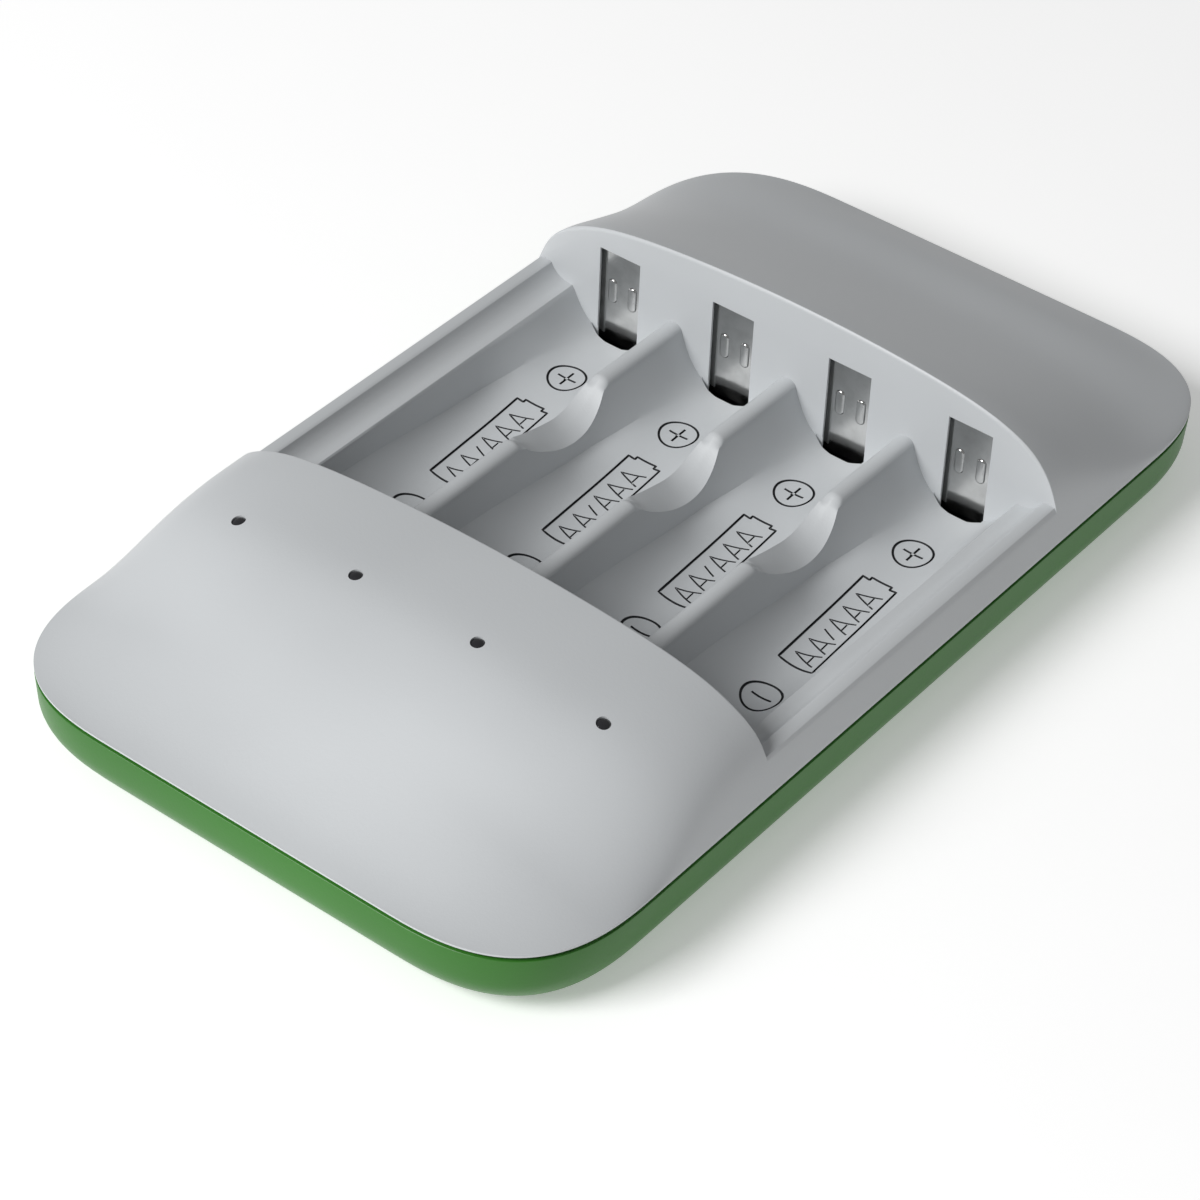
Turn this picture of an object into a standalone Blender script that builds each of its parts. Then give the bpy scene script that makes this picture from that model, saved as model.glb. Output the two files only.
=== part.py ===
"""A four-bay charger for AA and AAA cells, in metres, standing on z = 0 with its LED end at -Y.

Shapes are worked out about the parting plane between the two mouldings (z = 0 there), and add_object
lifts each finished piece by PARTING_Z.
"""
import math

import bmesh
import bpy
import numpy as np

# Outline of both mouldings at the parting plane
WIDTH = 0.078
LENGTH = 0.1342
CORNER_R = 0.020
CORNER_POWER = 2.8

# Heights
FOOT_STAND = 0.0005
SHELL_DEPTH = 0.009
PARTING_Z = FOOT_STAND + SHELL_DEPTH
EDGE_DROP = 0.0005
PARTING_GAP = 0.0003

# Wall thicknesses and clearances
SKIN = 0.0016
SHELL_WALL = 0.0015
TROUGH_FLOOR = 0.0012
TONGUE_THICK = 0.0012
TONGUE_DEPTH = 0.0020
CLEARANCE = 0.0003
SOLDER_GAP = 0.0001
OVERLAP = 0.0002

# Crown lines: (share of the run from the end to the LED row, or from the wall to the end, height)
HOOD_EDGE_Y = -0.0269
WALL_Y = 0.0283
LED_Y = HOOD_EDGE_Y - 0.0125
HOOD_RISE = ((0.0, 0.0), (0.2202, 0.0016), (0.4729, 0.0056), (0.7437, 0.0099), (1.0, 0.0118))
DECK_FALL = ((0.0, 0.0146), (0.1392, 0.01235), (0.2990, 0.0103), (0.4613, 0.0066), (0.6211, 0.0043),
             (0.7809, 0.0036), (0.8995, 0.0020), (1.0, 0.0))
HOOD_RUN = LENGTH / 2 + HOOD_EDGE_Y
DECK_RUN = LENGTH / 2 - WALL_Y
NOSE_RUN = LENGTH / 2 + LED_Y
HOOD_CROWN = tuple((-LENGTH / 2 + share * NOSE_RUN, height) for share, height in HOOD_RISE)
HOOD_CROWN += ((HOOD_EDGE_Y, 0.01225),)
DECK_CROWN = tuple((WALL_Y + share * DECK_RUN, height) for share, height in DECK_FALL)
CROSS_SAG = 0.000165e6

# Bays
PITCH = 0.017
BAY_X = (-1.5 * PITCH, -0.5 * PITCH, 0.5 * PITCH, 1.5 * PITCH)
RIDGE_X = (-PITCH, 0.0, PITCH)
RIDGE_TOP = 0.0038
RIDGE_ROUND = 0.0012
BAY_END_Y = -0.0310
INNER_FLOOR = -SHELL_DEPTH + SHELL_WALL
BAY_GAP = 0.0004
BAY_LOW = INNER_FLOOR + BAY_GAP + TROUGH_FLOOR
FLOOR_CENTRE = ((BAY_END_Y, BAY_LOW), (-0.0098, BAY_LOW + 0.0001), (0.0032, BAY_LOW + 0.0011),
                (0.0182, BAY_LOW + 0.0025), (WALL_Y, BAY_LOW + 0.0027))
FLOOR_HALF = ((BAY_END_Y, 0.0068), (-0.0148, 0.0067), (0.0082, 0.0062), (0.0160, 0.0048),
              (WALL_Y, 0.0033))
FLOOR_LINE = ((BAY_END_Y, BAY_LOW + 0.0047), (-0.0148, BAY_LOW + 0.0046), (0.0082, BAY_LOW + 0.0030),
              (0.0180, BAY_LOW + 0.0037), (WALL_Y, BAY_LOW + 0.00375))
SCOOP_LOW = BAY_LOW + 0.0050
SCOOP_DIP = ((-0.0027, RIDGE_TOP + 0.0002), (-0.0015, SCOOP_LOW + 0.0036), (0.0011, SCOOP_LOW + 0.0020),
             (0.0040, SCOOP_LOW + 0.0005), (0.0073, SCOOP_LOW), (0.0100, SCOOP_LOW + 0.0005),
             (0.0122, SCOOP_LOW + 0.0029), (0.0146, RIDGE_TOP + 0.0002))

# Side rims: the flat top, the cove inside it and the rounded outer side, as (x, z)
LEDGE_X = 0.0325
LEDGE_Z = 0.0019
RIM = ((LEDGE_X, LEDGE_Z), (0.0337, 0.0020), (0.0348, 0.0025), (0.0356, 0.0032), (0.0361, 0.00393),
       (0.0371, 0.0039), (0.0378, 0.0035), (0.0383, 0.0026), (0.0387, 0.0015), (0.0395, -0.0001))

# Contact slots in the far wall
SLOT_WIDTH = 0.00607
SLOT_TOP = 0.00942
SLOT_LIP = 0.0006
SLOT_FRONT_Y = WALL_Y - 0.0010
CONTACT_BACK = 0.0002
CONTACT_WIDTH = 0.0070
CONTACT_THICK = 0.0004
CONTACT_TOP = SLOT_TOP + 0.0005
CONTACT_BEND_R = 0.0010
CONTACT_FOOT_Y = 0.0362
RIB_X = 0.00155
RIB_WIDTH = 0.0009
RIB_Z = (0.00164, 0.00485)
RIB_PROUD = 0.00035

# Negative sliders and their springs
SLIDER_WIDTH = 0.0032
SLIDER_THICK = 0.0004
SLIDER_Z = BAY_LOW + SOLDER_GAP
TOE_Y = -0.0162
TOE_WIDTH = 0.0040
TOE_TOP = SLIDER_Z + 0.0018
TAIL_WIDTH = 0.0046
TAIL_TOP = SLIDER_Z + 0.0046
SLIDER_TRAVEL = 0.0070
SPRING_R = 0.0018
SPRING_WIRE = 0.00035
SPRING_LENGTH = 0.0120
SPRING_TURNS = 7
SPRING_Z = SLIDER_Z + 0.0025
TERMINAL_THICK = 0.0004
TERMINAL_WIDTH = 0.0046

# Boards
BOARD_THICK = 0.0015
LED_BOARD_Z = 0.0029
LED_BOARD_X = BAY_X[3] + 0.0015
LED_BOARD_Y = (HOOD_EDGE_Y - HOOD_RUN / 2, LED_Y + 0.0029)
LED_SIZE = (0.0020, 0.0012, 0.0011)
PIPE_R = 0.0010
PIPE_SINK = 0.0001
BOARD_LIFT = 0.0009
POWER_BOARD_Z = INNER_FLOOR + BOARD_LIFT
POWER_BOARD_X = WIDTH / 2 - 0.0150
POWER_BOARD_Y = (WALL_Y + 0.0052, LENGTH / 2 - 0.0041)
POST_R = 0.0018
CHIP_AT = (POWER_BOARD_X - 0.0040, POWER_BOARD_Y[0] + 0.0095)
CHIP_SIZE = (0.0070, 0.0070, 0.0012)
INDUCTOR_AT = (0.0100, POWER_BOARD_Y[0] + 0.0095)
INDUCTOR_SIZE = (0.0100, 0.0100, 0.0048)
CAPACITOR_Y = POWER_BOARD_Y[0] + 0.0085
CAPACITORS = ((-0.0120, 0.0032, 0.0075), (-0.0035, 0.0025, 0.0060))

# Flat cable between the boards: its run beside the bays, and how far in from each board's edge it lands
CABLE_WIDTH = 0.0030
CABLE_THICK = 0.0003
CABLE_X = LEDGE_X + SKIN + 0.0011
CABLE_Z = INNER_FLOOR + 0.0025
CABLE_LANDING = 0.0060

# Power inlet
INLET_SIZE = (0.0090, 0.0074, 0.0032)
INLET_WALL = 0.0003
INLET_SINK = 0.0006
INLET_TONGUE = (0.0066, 0.0046, 0.0007)

# Screws and feet
SCREW_X = POWER_BOARD_X + 0.0045
SCREW_Y = 0.0500
SCREW_HEAD_R = 0.0022
SCREW_HEAD_H = 0.0016
SCREW_SHANK_R = 0.0011
SCREW_LENGTH = 0.0070
SCREW_SEAT_Z = -SHELL_DEPTH + 0.0030
BOSS_R = 0.0028
BOSS_SPLIT_Z = SCREW_SEAT_Z + SHELL_WALL
FOOT_X = 0.0200
FOOT_Y = LENGTH / 2 - 0.0111
FOOT_R = 0.0040
FOOT_RECESS = 0.0007

# Lower shell
SHELL_DRAFT = 0.05
SHELL_ROUND = 0.0050


def material(name, colour, metallic, roughness):
    mat = bpy.data.materials.new(name)
    mat.use_nodes = True
    shader = mat.node_tree.nodes["Principled BSDF"]
    shader.inputs["Base Color"].default_value = (*colour, 1.0)
    shader.inputs["Metallic"].default_value = metallic
    shader.inputs["Roughness"].default_value = roughness
    return mat


def add_object(name, verts, faces, mat=None):
    """A mesh object made of points given about the parting plane."""
    mesh = bpy.data.meshes.new(name)
    lifted = [(float(x), float(y), float(z) + PARTING_Z) for x, y, z in verts]
    mesh.from_pydata(lifted, [], [tuple(int(i) for i in f) for f in faces])
    bm = bmesh.new()
    bm.from_mesh(mesh)
    bmesh.ops.recalc_face_normals(bm, faces=bm.faces)
    bm.to_mesh(mesh)
    bm.free()
    obj = bpy.data.objects.new(name, mesh)
    bpy.context.scene.collection.objects.link(obj)
    if mat is None:
        obj.hide_render = True
        obj.display_type = "WIRE"
    else:
        mesh.materials.append(mat)
    return obj


def combine(obj, operand, operation):
    mod = obj.modifiers.new(operand.name, "BOOLEAN")
    mod.operation = operation
    mod.solver = "EXACT"
    mod.object = operand


def join(shapes):
    """Several separate closed shapes as one list of points and one list of faces."""
    verts, faces = [], []
    for points, polygons in shapes:
        start = len(verts)
        verts.extend(points)
        faces.extend([[i + start for i in f] for f in polygons])
    return verts, faces


def loft(rings):
    """A closed shape through rings of equal point count, with a flat face at each end."""
    count = len(rings[0])
    verts = [p for ring in rings for p in ring]
    faces = [list(range(count)), list(range(len(verts) - count, len(verts)))]
    for i in range(len(rings) - 1):
        for j in range(count):
            k = (j + 1) % count
            faces.append([i * count + j, i * count + k, (i + 1) * count + k, (i + 1) * count + j])
    return verts, faces


def prism(outline, z0, z1):
    return loft([[(x, y, z) for x, y in outline] for z in (z0, z1)])


def box(x0, x1, y0, y1, z0, z1):
    return prism([(x0, y0), (x1, y0), (x1, y1), (x0, y1)], z0, z1)


def disc(x, y, radius, sides):
    turn = 2 * math.pi / sides
    return [(x + radius * math.cos(i * turn), y + radius * math.sin(i * turn)) for i in range(sides)]


def across(profile, x0, x1):
    """A (y, z) outline extruded along X."""
    return loft([[(x, y, z) for y, z in profile] for x in (x0, x1)])


def along(profile, y0, y1):
    """An (x, z) outline extruded along Y."""
    return loft([[(x, y, z) for x, z in profile] for y in (y0, y1)])


def rounded(x, z, width, height, radius, steps):
    """A rounded rectangle centred on (x, z), as a list of points."""
    points = []
    for corner in range(4):
        cx = x + (width / 2 - radius) * (1, -1, -1, 1)[corner]
        cz = z + (height / 2 - radius) * (1, 1, -1, -1)[corner]
        for step in range(steps + 1):
            a = math.pi / 2 * (corner + step / steps)
            points.append((cx + radius * math.cos(a), cz + radius * math.sin(a)))
    return points


def curve(knots, t):
    """Smooth line through knots that never overshoots them."""
    x, y = (np.array(column) for column in zip(*knots))
    h = np.diff(x)
    slope = np.diff(y) / h
    tangent = np.zeros(len(x))
    for i in range(1, len(x) - 1):
        if slope[i - 1] * slope[i] > 0:
            a, b = 2 * h[i] + h[i - 1], h[i] + 2 * h[i - 1]
            tangent[i] = (a + b) / (a / slope[i - 1] + b / slope[i])
    t = min(max(t, x[0]), x[-1])
    i = min(int(np.searchsorted(x, t, side="right")) - 1, len(h) - 1)
    s = (t - x[i]) / h[i]
    rise = y[i] * (1 + 2 * s) * (1 - s) ** 2 + y[i + 1] * s * s * (3 - 2 * s)
    return float(rise + h[i] * (tangent[i] * s * (1 - s) ** 2 + tangent[i + 1] * s * s * (s - 1)))


def blend(a, b, t):
    t = min(max(t, 0.0), 1.0)
    return a + (b - a) * t * t * (3 - 2 * t)


def half_width(y, inset=0.0):
    """Half the width of the outline at y, for the outline moved in by inset."""
    radius = CORNER_R - inset
    into = abs(y) - (LENGTH / 2 - CORNER_R)
    if into <= 0:
        return WIDTH / 2 - inset
    share = max(1 - min(into / radius, 1.0) ** CORNER_POWER, 0.0)
    return WIDTH / 2 - CORNER_R + radius * share ** (1 / CORNER_POWER)


def outline(inset, steps=6):
    """The outline moved in by inset, anticlockwise."""
    radius = CORNER_R - inset
    points = []
    for corner in range(4):
        cx = (WIDTH / 2 - CORNER_R) * (1, -1, -1, 1)[corner]
        cy = (LENGTH / 2 - CORNER_R) * (1, 1, -1, -1)[corner]
        for step in range(steps + 1):
            a = math.pi / 2 * (corner + step / steps)
            c, s = math.cos(a), math.sin(a)
            px = math.copysign(abs(c) ** (2 / CORNER_POWER), c) if abs(c) > 1e-9 else 0.0
            py = math.copysign(abs(s) ** (2 / CORNER_POWER), s) if abs(s) > 1e-9 else 0.0
            points.append((cx + radius * px, cy + radius * py))
    return points


def surface(x, y):
    """Height of the hood or deck skin at (x, y). Sections are flat-topped arches."""
    x = np.abs(np.asarray(x, dtype=float))
    if y < (HOOD_EDGE_Y + WALL_Y) / 2:
        crown = curve(HOOD_CROWN, y)
        front = (HOOD_EDGE_Y - y) / 0.018
        power, root = blend(8.0, 4.5, front), blend(2.0, 1.0, front)
    else:
        crown = curve(DECK_CROWN, max(y, WALL_Y))
        back = (y - WALL_Y) / (LENGTH / 2 - WALL_Y)
        power, root = blend(8.0, 3.0, back), blend(2.0, 1.2, back)
    u = np.minimum(x / half_width(y), 1.0)
    return crown * (1 - CROSS_SAG * x * x) * (1 - u ** power) ** (1 / root)


def sink(x, z, depth):
    """The lower side of a wall of the given thickness under the line (x, z)."""
    fine = np.linspace(x[0] - depth, x[-1] + depth, 700)
    line = np.interp(fine, x, z)
    result = []
    for centre in x:
        d = fine - centre
        near = np.abs(d) <= depth
        result.append(np.min(line[near] - np.sqrt(depth * depth - d[near] ** 2)))
    return np.array(result)


def stations(y0, y1, count):
    """Places along Y, closer together where the outline turns its corner."""
    flat = LENGTH / 2 - CORNER_R
    places = np.linspace(y0, y1, count)
    over = np.abs(places) > flat
    share = (np.abs(places[over]) - flat) / CORNER_R
    places[over] = np.sign(places[over]) * (flat + CORNER_R * np.sin(share * math.pi / 2))
    return places


def blank():
    """The outside of the top moulding as one solid, with nothing cut out of it yet."""
    spread = np.sin(np.linspace(-math.pi / 2, math.pi / 2, 27))
    places = np.concatenate([stations(-LENGTH / 2, HOOD_EDGE_Y, 19), [HOOD_EDGE_Y / 2, 0.0, WALL_Y / 2],
                             stations(WALL_Y, LENGTH / 2, 19)])
    rings = []
    for y in places:
        x = spread * half_width(y)
        top = [(a, y, h) for a, h in zip(x, surface(x, y))]
        rings.append(top + [(x[-1], y, -EDGE_DROP), (x[0], y, -EDGE_DROP)])
    return loft(rings)


def trough_floor(y):
    """Points across the four bays and three ridges at y, as arrays of x and height."""
    centre, half, line = curve(FLOOR_CENTRE, y), curve(FLOOR_HALF, y), curve(FLOOR_LINE, y)
    top = PITCH / 2 - RIDGE_ROUND
    ridge = [(top + RIDGE_ROUND * a, RIDGE_TOP - RIDGE_ROUND * b)
             for a, b in ((0.0, 0.80), (0.25, 0.35), (0.6, 0.06), (1.0, 0.0))]
    floor = [(half * f, centre + (line - centre) * f * f) for f in (0.0, 0.4, 0.75, 1.0)]
    dip = curve(SCOOP_DIP, y)
    share = min(0.5, (dip - line) / (ridge[0][1] - line))
    middle = [(half + (top - half) * share, line + (ridge[0][1] - line) * share)]
    inner = floor + middle + ridge
    ledge = LEDGE_X - BAY_X[3]
    outer = floor + [((half + ledge) / 2, (line + LEDGE_Z) / 2), (ledge, LEDGE_Z)]
    right = [(-s, z) for s, z in reversed(inner[1:-1])]
    half_side = [(BAY_X[2] + s, z) for s, z in right + inner]
    half_side += [(BAY_X[3] + s, z) for s, z in right + outer]
    full = [(-x, z) for x, z in reversed(half_side)] + [(0.0, RIDGE_TOP)] + half_side
    x, z = (np.array(column) for column in zip(*full))
    z = np.where(np.abs(x) < RIDGE_X[2] + PITCH / 2, np.minimum(z, dip), z)
    return x, z


def bay_space():
    """All that is open between the hood and the far wall, down to the floors and rims."""
    near, far = SCOOP_DIP[0][0], SCOOP_DIP[-1][0]
    places = np.concatenate([np.linspace(HOOD_EDGE_Y, near, 5)[:-1], np.linspace(near, far, 14),
                             np.linspace(far, WALL_Y, 5)[1:]])
    ceiling = DECK_CROWN[0][1] + SKIN
    rings = []
    for y in places:
        x, z = trough_floor(y)
        line = [(-a, b) for a, b in reversed(RIM[1:])] + list(zip(x, z)) + list(RIM[1:])
        ring = [(a, y, b) for a, b in line]
        rings.append(ring + [(RIM[-1][0], y, ceiling), (-RIM[-1][0], y, ceiling)])
    return loft(rings)


def hood_mouth():
    """The part of the bays that runs on under the hood."""
    rings = []
    for y in (BAY_END_Y, HOOD_EDGE_Y + OVERLAP):
        x, z = trough_floor(y)
        roof = surface(x, min(y, HOOD_EDGE_Y)) - SKIN
        ring = [(a, y, b) for a, b in zip(x, z)]
        rings.append(ring + [(a, y, b) for a, b in zip(x[::-2], roof[::-2])])
    return loft(rings)


def under_trough():
    """The space below the bays, one floor thickness under them."""
    low = -SHELL_DEPTH - SKIN
    limit = WIDTH / 2 - SHELL_WALL - CLEARANCE - TONGUE_THICK
    grid = np.linspace(-limit, limit, 55)
    rim_x = np.array([p[0] for p in RIM[1:]])
    rim_z = np.array([p[1] for p in RIM[1:]])
    rings = []
    for y in np.linspace(BAY_END_Y, WALL_Y + SKIN, 9):
        x, z = trough_floor(min(y, WALL_Y))
        x = np.concatenate([-rim_x[::-1], x, rim_x])
        z = np.concatenate([rim_z[::-1], z, rim_z])
        under = sink(grid, np.interp(grid, x, z), TROUGH_FLOOR)
        ring = [(a, y, b) for a, b in zip(grid, under)]
        rings.append(ring + [(limit, y, low), (-limit, y, low)])
    return loft(rings)


def skin_space(y0, y1, count):
    """The hollow under the hood or the deck, one skin thickness below it."""
    low = -SHELL_DEPTH - SKIN
    inset = SHELL_WALL + CLEARANCE + TONGUE_THICK
    rings = []
    spread = np.sin(np.linspace(-math.pi / 2, math.pi / 2, 17))
    limit = LENGTH / 2 - inset - OVERLAP
    for y in np.clip(stations(y0, y1, count), -limit, limit):
        half = half_width(y, inset)
        x = spread * half
        full = np.linspace(-half_width(y), half_width(y), 81)
        near = [np.interp(x, full, sink(full, surface(full, a), SKIN)) for a in (y - SKIN / 2, y, y + SKIN / 2)]
        ring = [(a, y, b) for a, b in zip(x, np.min(near, axis=0))]
        rings.append(ring + [(x[-1], y, low), (x[0], y, low)])
    return loft(rings)


def top_housing(mat):
    body = add_object("top_housing", *blank(), mat)
    inset = SHELL_WALL + CLEARANCE
    tongue = prism(outline(inset), -EDGE_DROP - TONGUE_DEPTH, -OVERLAP)
    combine(body, add_object("tongue_blank", *tongue), "UNION")
    lowest = FLOOR_CENTRE[0][1] - TROUGH_FLOOR
    block = box(-LEDGE_X - SKIN, LEDGE_X + SKIN, BAY_END_Y - TROUGH_FLOOR, WALL_Y + SKIN, lowest,
                -EDGE_DROP - TONGUE_DEPTH + OVERLAP)
    combine(body, add_object("trough_blank", *block), "UNION")
    front = -LENGTH / 2 + inset + TONGUE_THICK + OVERLAP
    combine(body, add_object("hood_space", *skin_space(front, BAY_END_Y - TROUGH_FLOOR, 11)), "DIFFERENCE")
    combine(body, add_object("deck_space", *skin_space(WALL_Y + SKIN, -front, 11)), "DIFFERENCE")
    combine(body, add_object("trough_space", *under_trough()), "DIFFERENCE")
    bosses = []
    for x, y in screw_places():
        top = float(surface(abs(x) + BOSS_R, y)) - SKIN / 2
        bosses.append(prism(disc(x, y, BOSS_R, 20), BOSS_SPLIT_Z + CLEARANCE, top))
    combine(body, add_object("boss_blanks", *join(bosses)), "UNION")
    combine(body, add_object("bay_space", *bay_space()), "DIFFERENCE")
    combine(body, add_object("hood_mouth", *hood_mouth()), "DIFFERENCE")
    combine(body, add_object("contact_slots", *join([slot(x) for x in BAY_X])), "DIFFERENCE")
    holes = []
    for x in BAY_X:
        holes.append(prism(disc(x, LED_Y, PIPE_R + CLEARANCE / 2, 16), LED_BOARD_Z + BOARD_THICK,
                           DECK_CROWN[0][1]))
        half = SLIDER_WIDTH / 2 + CLEARANCE
        holes.append(box(x - half, x + half, BAY_END_Y - TROUGH_FLOOR - SKIN, TOE_Y + SLIDER_THICK + CLEARANCE,
                         SLIDER_Z - CLEARANCE, SLIDER_Z + SLIDER_THICK + CLEARANCE))
    for x, y in screw_places():
        bottom = BOSS_SPLIT_Z - CLEARANCE
        holes.append(prism(disc(x, y, SCREW_SHANK_R + CLEARANCE / 2, 16), bottom, screw_tip() + CLEARANCE))
    half = INLET_SIZE[0] / 2 + CLEARANCE
    tongue_in = LENGTH / 2 - inset - TONGUE_THICK
    holes.append(box(-half, half, tongue_in - SKIN, LENGTH / 2 - SHELL_WALL, -SHELL_DEPTH,
                     inlet_z() + INLET_SIZE[2] / 2 + CLEARANCE))
    combine(body, add_object("small_holes", *join(holes)), "DIFFERENCE")


def slot(x):
    """Slot in the far wall, the notch it leaves in the floor, and the wider pocket behind it."""
    half = SLOT_WIDTH / 2
    wide = CONTACT_WIDTH / 2 + CLEARANCE
    back = WALL_Y + 2 * SKIN
    deep = WALL_Y + SLOT_LIP
    low = -SHELL_DEPTH
    plan = [(-half, SLOT_FRONT_Y), (half, SLOT_FRONT_Y), (half, deep), (wide, deep), (wide, back),
            (-wide, back), (-wide, deep), (-half, deep)]
    verts, faces = loft([[(x + a, b, z) for a, b in plan] for z in (low, SLOT_TOP)])
    faces.pop(1)
    first = len(verts)
    verts += [(x + a, b, CONTACT_TOP + CLEARANCE) for a, b in plan[3:7]]
    faces += [[8, 9, 10, 15], [11, 10, 15, 14, first + 3, first], [11, 12, first + 1, first],
              [12, 13, first + 2, first + 1], [13, 14, first + 3, first + 2],
              [first, first + 1, first + 2, first + 3]]
    return verts, faces


def screw_tip():
    return SCREW_SEAT_Z - CLEARANCE / 2 + SCREW_LENGTH - SCREW_HEAD_H


def screw_places():
    return [(sx * SCREW_X, sy * SCREW_Y) for sx in (-1, 1) for sy in (-1, 1)]


def foot_places():
    return [(sx * FOOT_X, sy * FOOT_Y) for sx in (-1, 1) for sy in (-1, 1)]


def bottom_shell(mat):
    rim = -EDGE_DROP - PARTING_GAP
    bend = -SHELL_DEPTH + SHELL_ROUND
    in_round = SHELL_ROUND - SHELL_WALL
    angles = [math.pi / 2 * k / 6 for k in range(7)]
    draft = SHELL_DRAFT * (rim - bend)
    outer = [(0.0, rim)]
    outer += [(draft + SHELL_ROUND * (1 - math.cos(a)), bend - SHELL_ROUND * math.sin(a)) for a in angles]
    inner = [(SHELL_WALL, rim)]
    inner += [(draft + SHELL_WALL + in_round * (1 - math.cos(a)), bend - in_round * math.sin(a))
              for a in angles[::2]]
    rings = [[(x, y, z) for x, y in outline(d)] for d, z in reversed(outer)]
    rings += [[(x, y, z) for x, y in outline(d)] for d, z in inner]
    body = add_object("bottom_shell", *loft(rings), mat)

    floor = -SHELL_DEPTH + SHELL_WALL
    posts = [prism(disc(x, y, BOSS_R + SHELL_WALL / 2, 24), floor - OVERLAP, BOSS_SPLIT_Z)
             for x, y in screw_places()]
    led_mid = (LED_BOARD_Y[0] + LED_BOARD_Y[1]) / 2
    for x in RIDGE_X:
        posts.append(prism(disc(x, led_mid, POST_R, 14), floor - OVERLAP, LED_BOARD_Z - SOLDER_GAP))
    for x in (-0.8 * POWER_BOARD_X, 0.8 * POWER_BOARD_X):
        for y in (POWER_BOARD_Y[0] + 2 * POST_R, POWER_BOARD_Y[1] - 5 * POST_R):
            posts.append(prism(disc(x, y, POST_R, 14), floor - OVERLAP, POWER_BOARD_Z - SOLDER_GAP))
    combine(body, add_object("shell_posts", *join(posts)), "UNION")

    cuts = []
    for x, y in screw_places():
        cuts.append(loft([[(a, b, z) for a, b in disc(x, y, r, 20)] for r, z in (
            (SCREW_HEAD_R + CLEARANCE, -SHELL_DEPTH - SKIN), (SCREW_HEAD_R + CLEARANCE, SCREW_SEAT_Z),
            (SCREW_SHANK_R + CLEARANCE, SCREW_SEAT_Z), (SCREW_SHANK_R + CLEARANCE, BOSS_SPLIT_Z + SKIN))]))
    for x, y in foot_places():
        cuts.append(prism(disc(x, y, FOOT_R + CLEARANCE, 24), -SHELL_DEPTH - SKIN, -SHELL_DEPTH + FOOT_RECESS))
    width, _, height = INLET_SIZE
    hole = rounded(0.0, inlet_z(), width + 2 * CLEARANCE, height + 2 * CLEARANCE, height / 2, 5)
    cuts.append(along(hole, LENGTH / 2 - SHELL_WALL - 2 * SKIN, LENGTH / 2 + SKIN))
    combine(body, add_object("shell_holes", *join(cuts)), "DIFFERENCE")


def inlet_z():
    return POWER_BOARD_Z + BOARD_THICK + SOLDER_GAP + INLET_SIZE[2] / 2


def positive_contact(number, x, mat):
    """A plate behind the wall's slot whose lower end turns back onto the board, with two ribs."""
    front = WALL_Y + SLOT_LIP + CONTACT_BACK
    foot = POWER_BOARD_Z + BOARD_THICK + SOLDER_GAP
    bend = [math.pi / 2 * k / 4 for k in range(5)]
    centre = (front + CONTACT_THICK + CONTACT_BEND_R, foot + CONTACT_THICK + CONTACT_BEND_R)
    big = CONTACT_BEND_R + CONTACT_THICK
    profile = [(front, CONTACT_TOP)]
    profile += [(centre[0] - big * math.cos(a), centre[1] - big * math.sin(a)) for a in bend]
    profile += [(CONTACT_FOOT_Y, foot), (CONTACT_FOOT_Y, foot + CONTACT_THICK)]
    profile += [(centre[0] - CONTACT_BEND_R * math.cos(a), centre[1] - CONTACT_BEND_R * math.sin(a))
                for a in reversed(bend)]
    profile.append((front + CONTACT_THICK, CONTACT_TOP))
    name = f"positive_contact_{number}"
    plate = add_object(name, *across(profile, x - CONTACT_WIDTH / 2, x + CONTACT_WIDTH / 2), mat)
    ribs = []
    for side in (-RIB_X, RIB_X):
        rings = []
        for y, scale in ((front + CONTACT_THICK / 2, 1.0), (front, 1.0), (front - RIB_PROUD, 0.5)):
            width = RIB_WIDTH * scale
            height = RIB_Z[1] - RIB_Z[0] - RIB_WIDTH * (1 - scale)
            ring = rounded(x + side, sum(RIB_Z) / 2, width, height, width * 0.49, 3)
            rings.append([(a, y, b) for a, b in ring])
        ribs.append(loft(rings))
    combine(plate, add_object(name + "_ribs", *join(ribs)), "UNION")


def tail_y():
    """Front face of a slider's upright tail, just behind the bay's end wall."""
    return BAY_END_Y - TROUGH_FLOOR - CLEARANCE


def negative_slider(number, x, mat):
    """A flat strip along the bay floor with an upturned toe and an upturned tail."""
    z0, z1 = SLIDER_Z, SLIDER_Z + SLIDER_THICK
    name = f"negative_slider_{number}"
    tail = tail_y()
    strip = [(TOE_Y, z0), (tail - SLIDER_THICK, z0), (tail - SLIDER_THICK, z1 + SLIDER_THICK),
             (tail, z1 + SLIDER_THICK), (tail, z1), (TOE_Y - SLIDER_THICK, z1),
             (TOE_Y - SLIDER_THICK, z1 + SLIDER_THICK), (TOE_Y, z1 + SLIDER_THICK)]
    body = add_object(name, *across(strip, x - SLIDER_WIDTH / 2, x + SLIDER_WIDTH / 2), mat)
    toe_low = z1 + CLEARANCE
    toe_mid = (toe_low + TOE_TOP) / 2
    toe = rounded(x, toe_mid, TOE_WIDTH, TOE_TOP - toe_low, (TOE_TOP - toe_low) * 0.35, 3)
    tail_mid = (toe_low + TAIL_TOP) / 2
    seat = rounded(x, tail_mid, TAIL_WIDTH, TAIL_TOP - toe_low, TAIL_WIDTH * 0.2, 3)
    plates = join([along(toe, TOE_Y - SLIDER_THICK, TOE_Y), along(seat, tail - SLIDER_THICK, tail)])
    combine(body, add_object(name + "_plates", *plates), "UNION")


def spring_start():
    return tail_y() - SLIDER_THICK - CLEARANCE / 2


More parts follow.
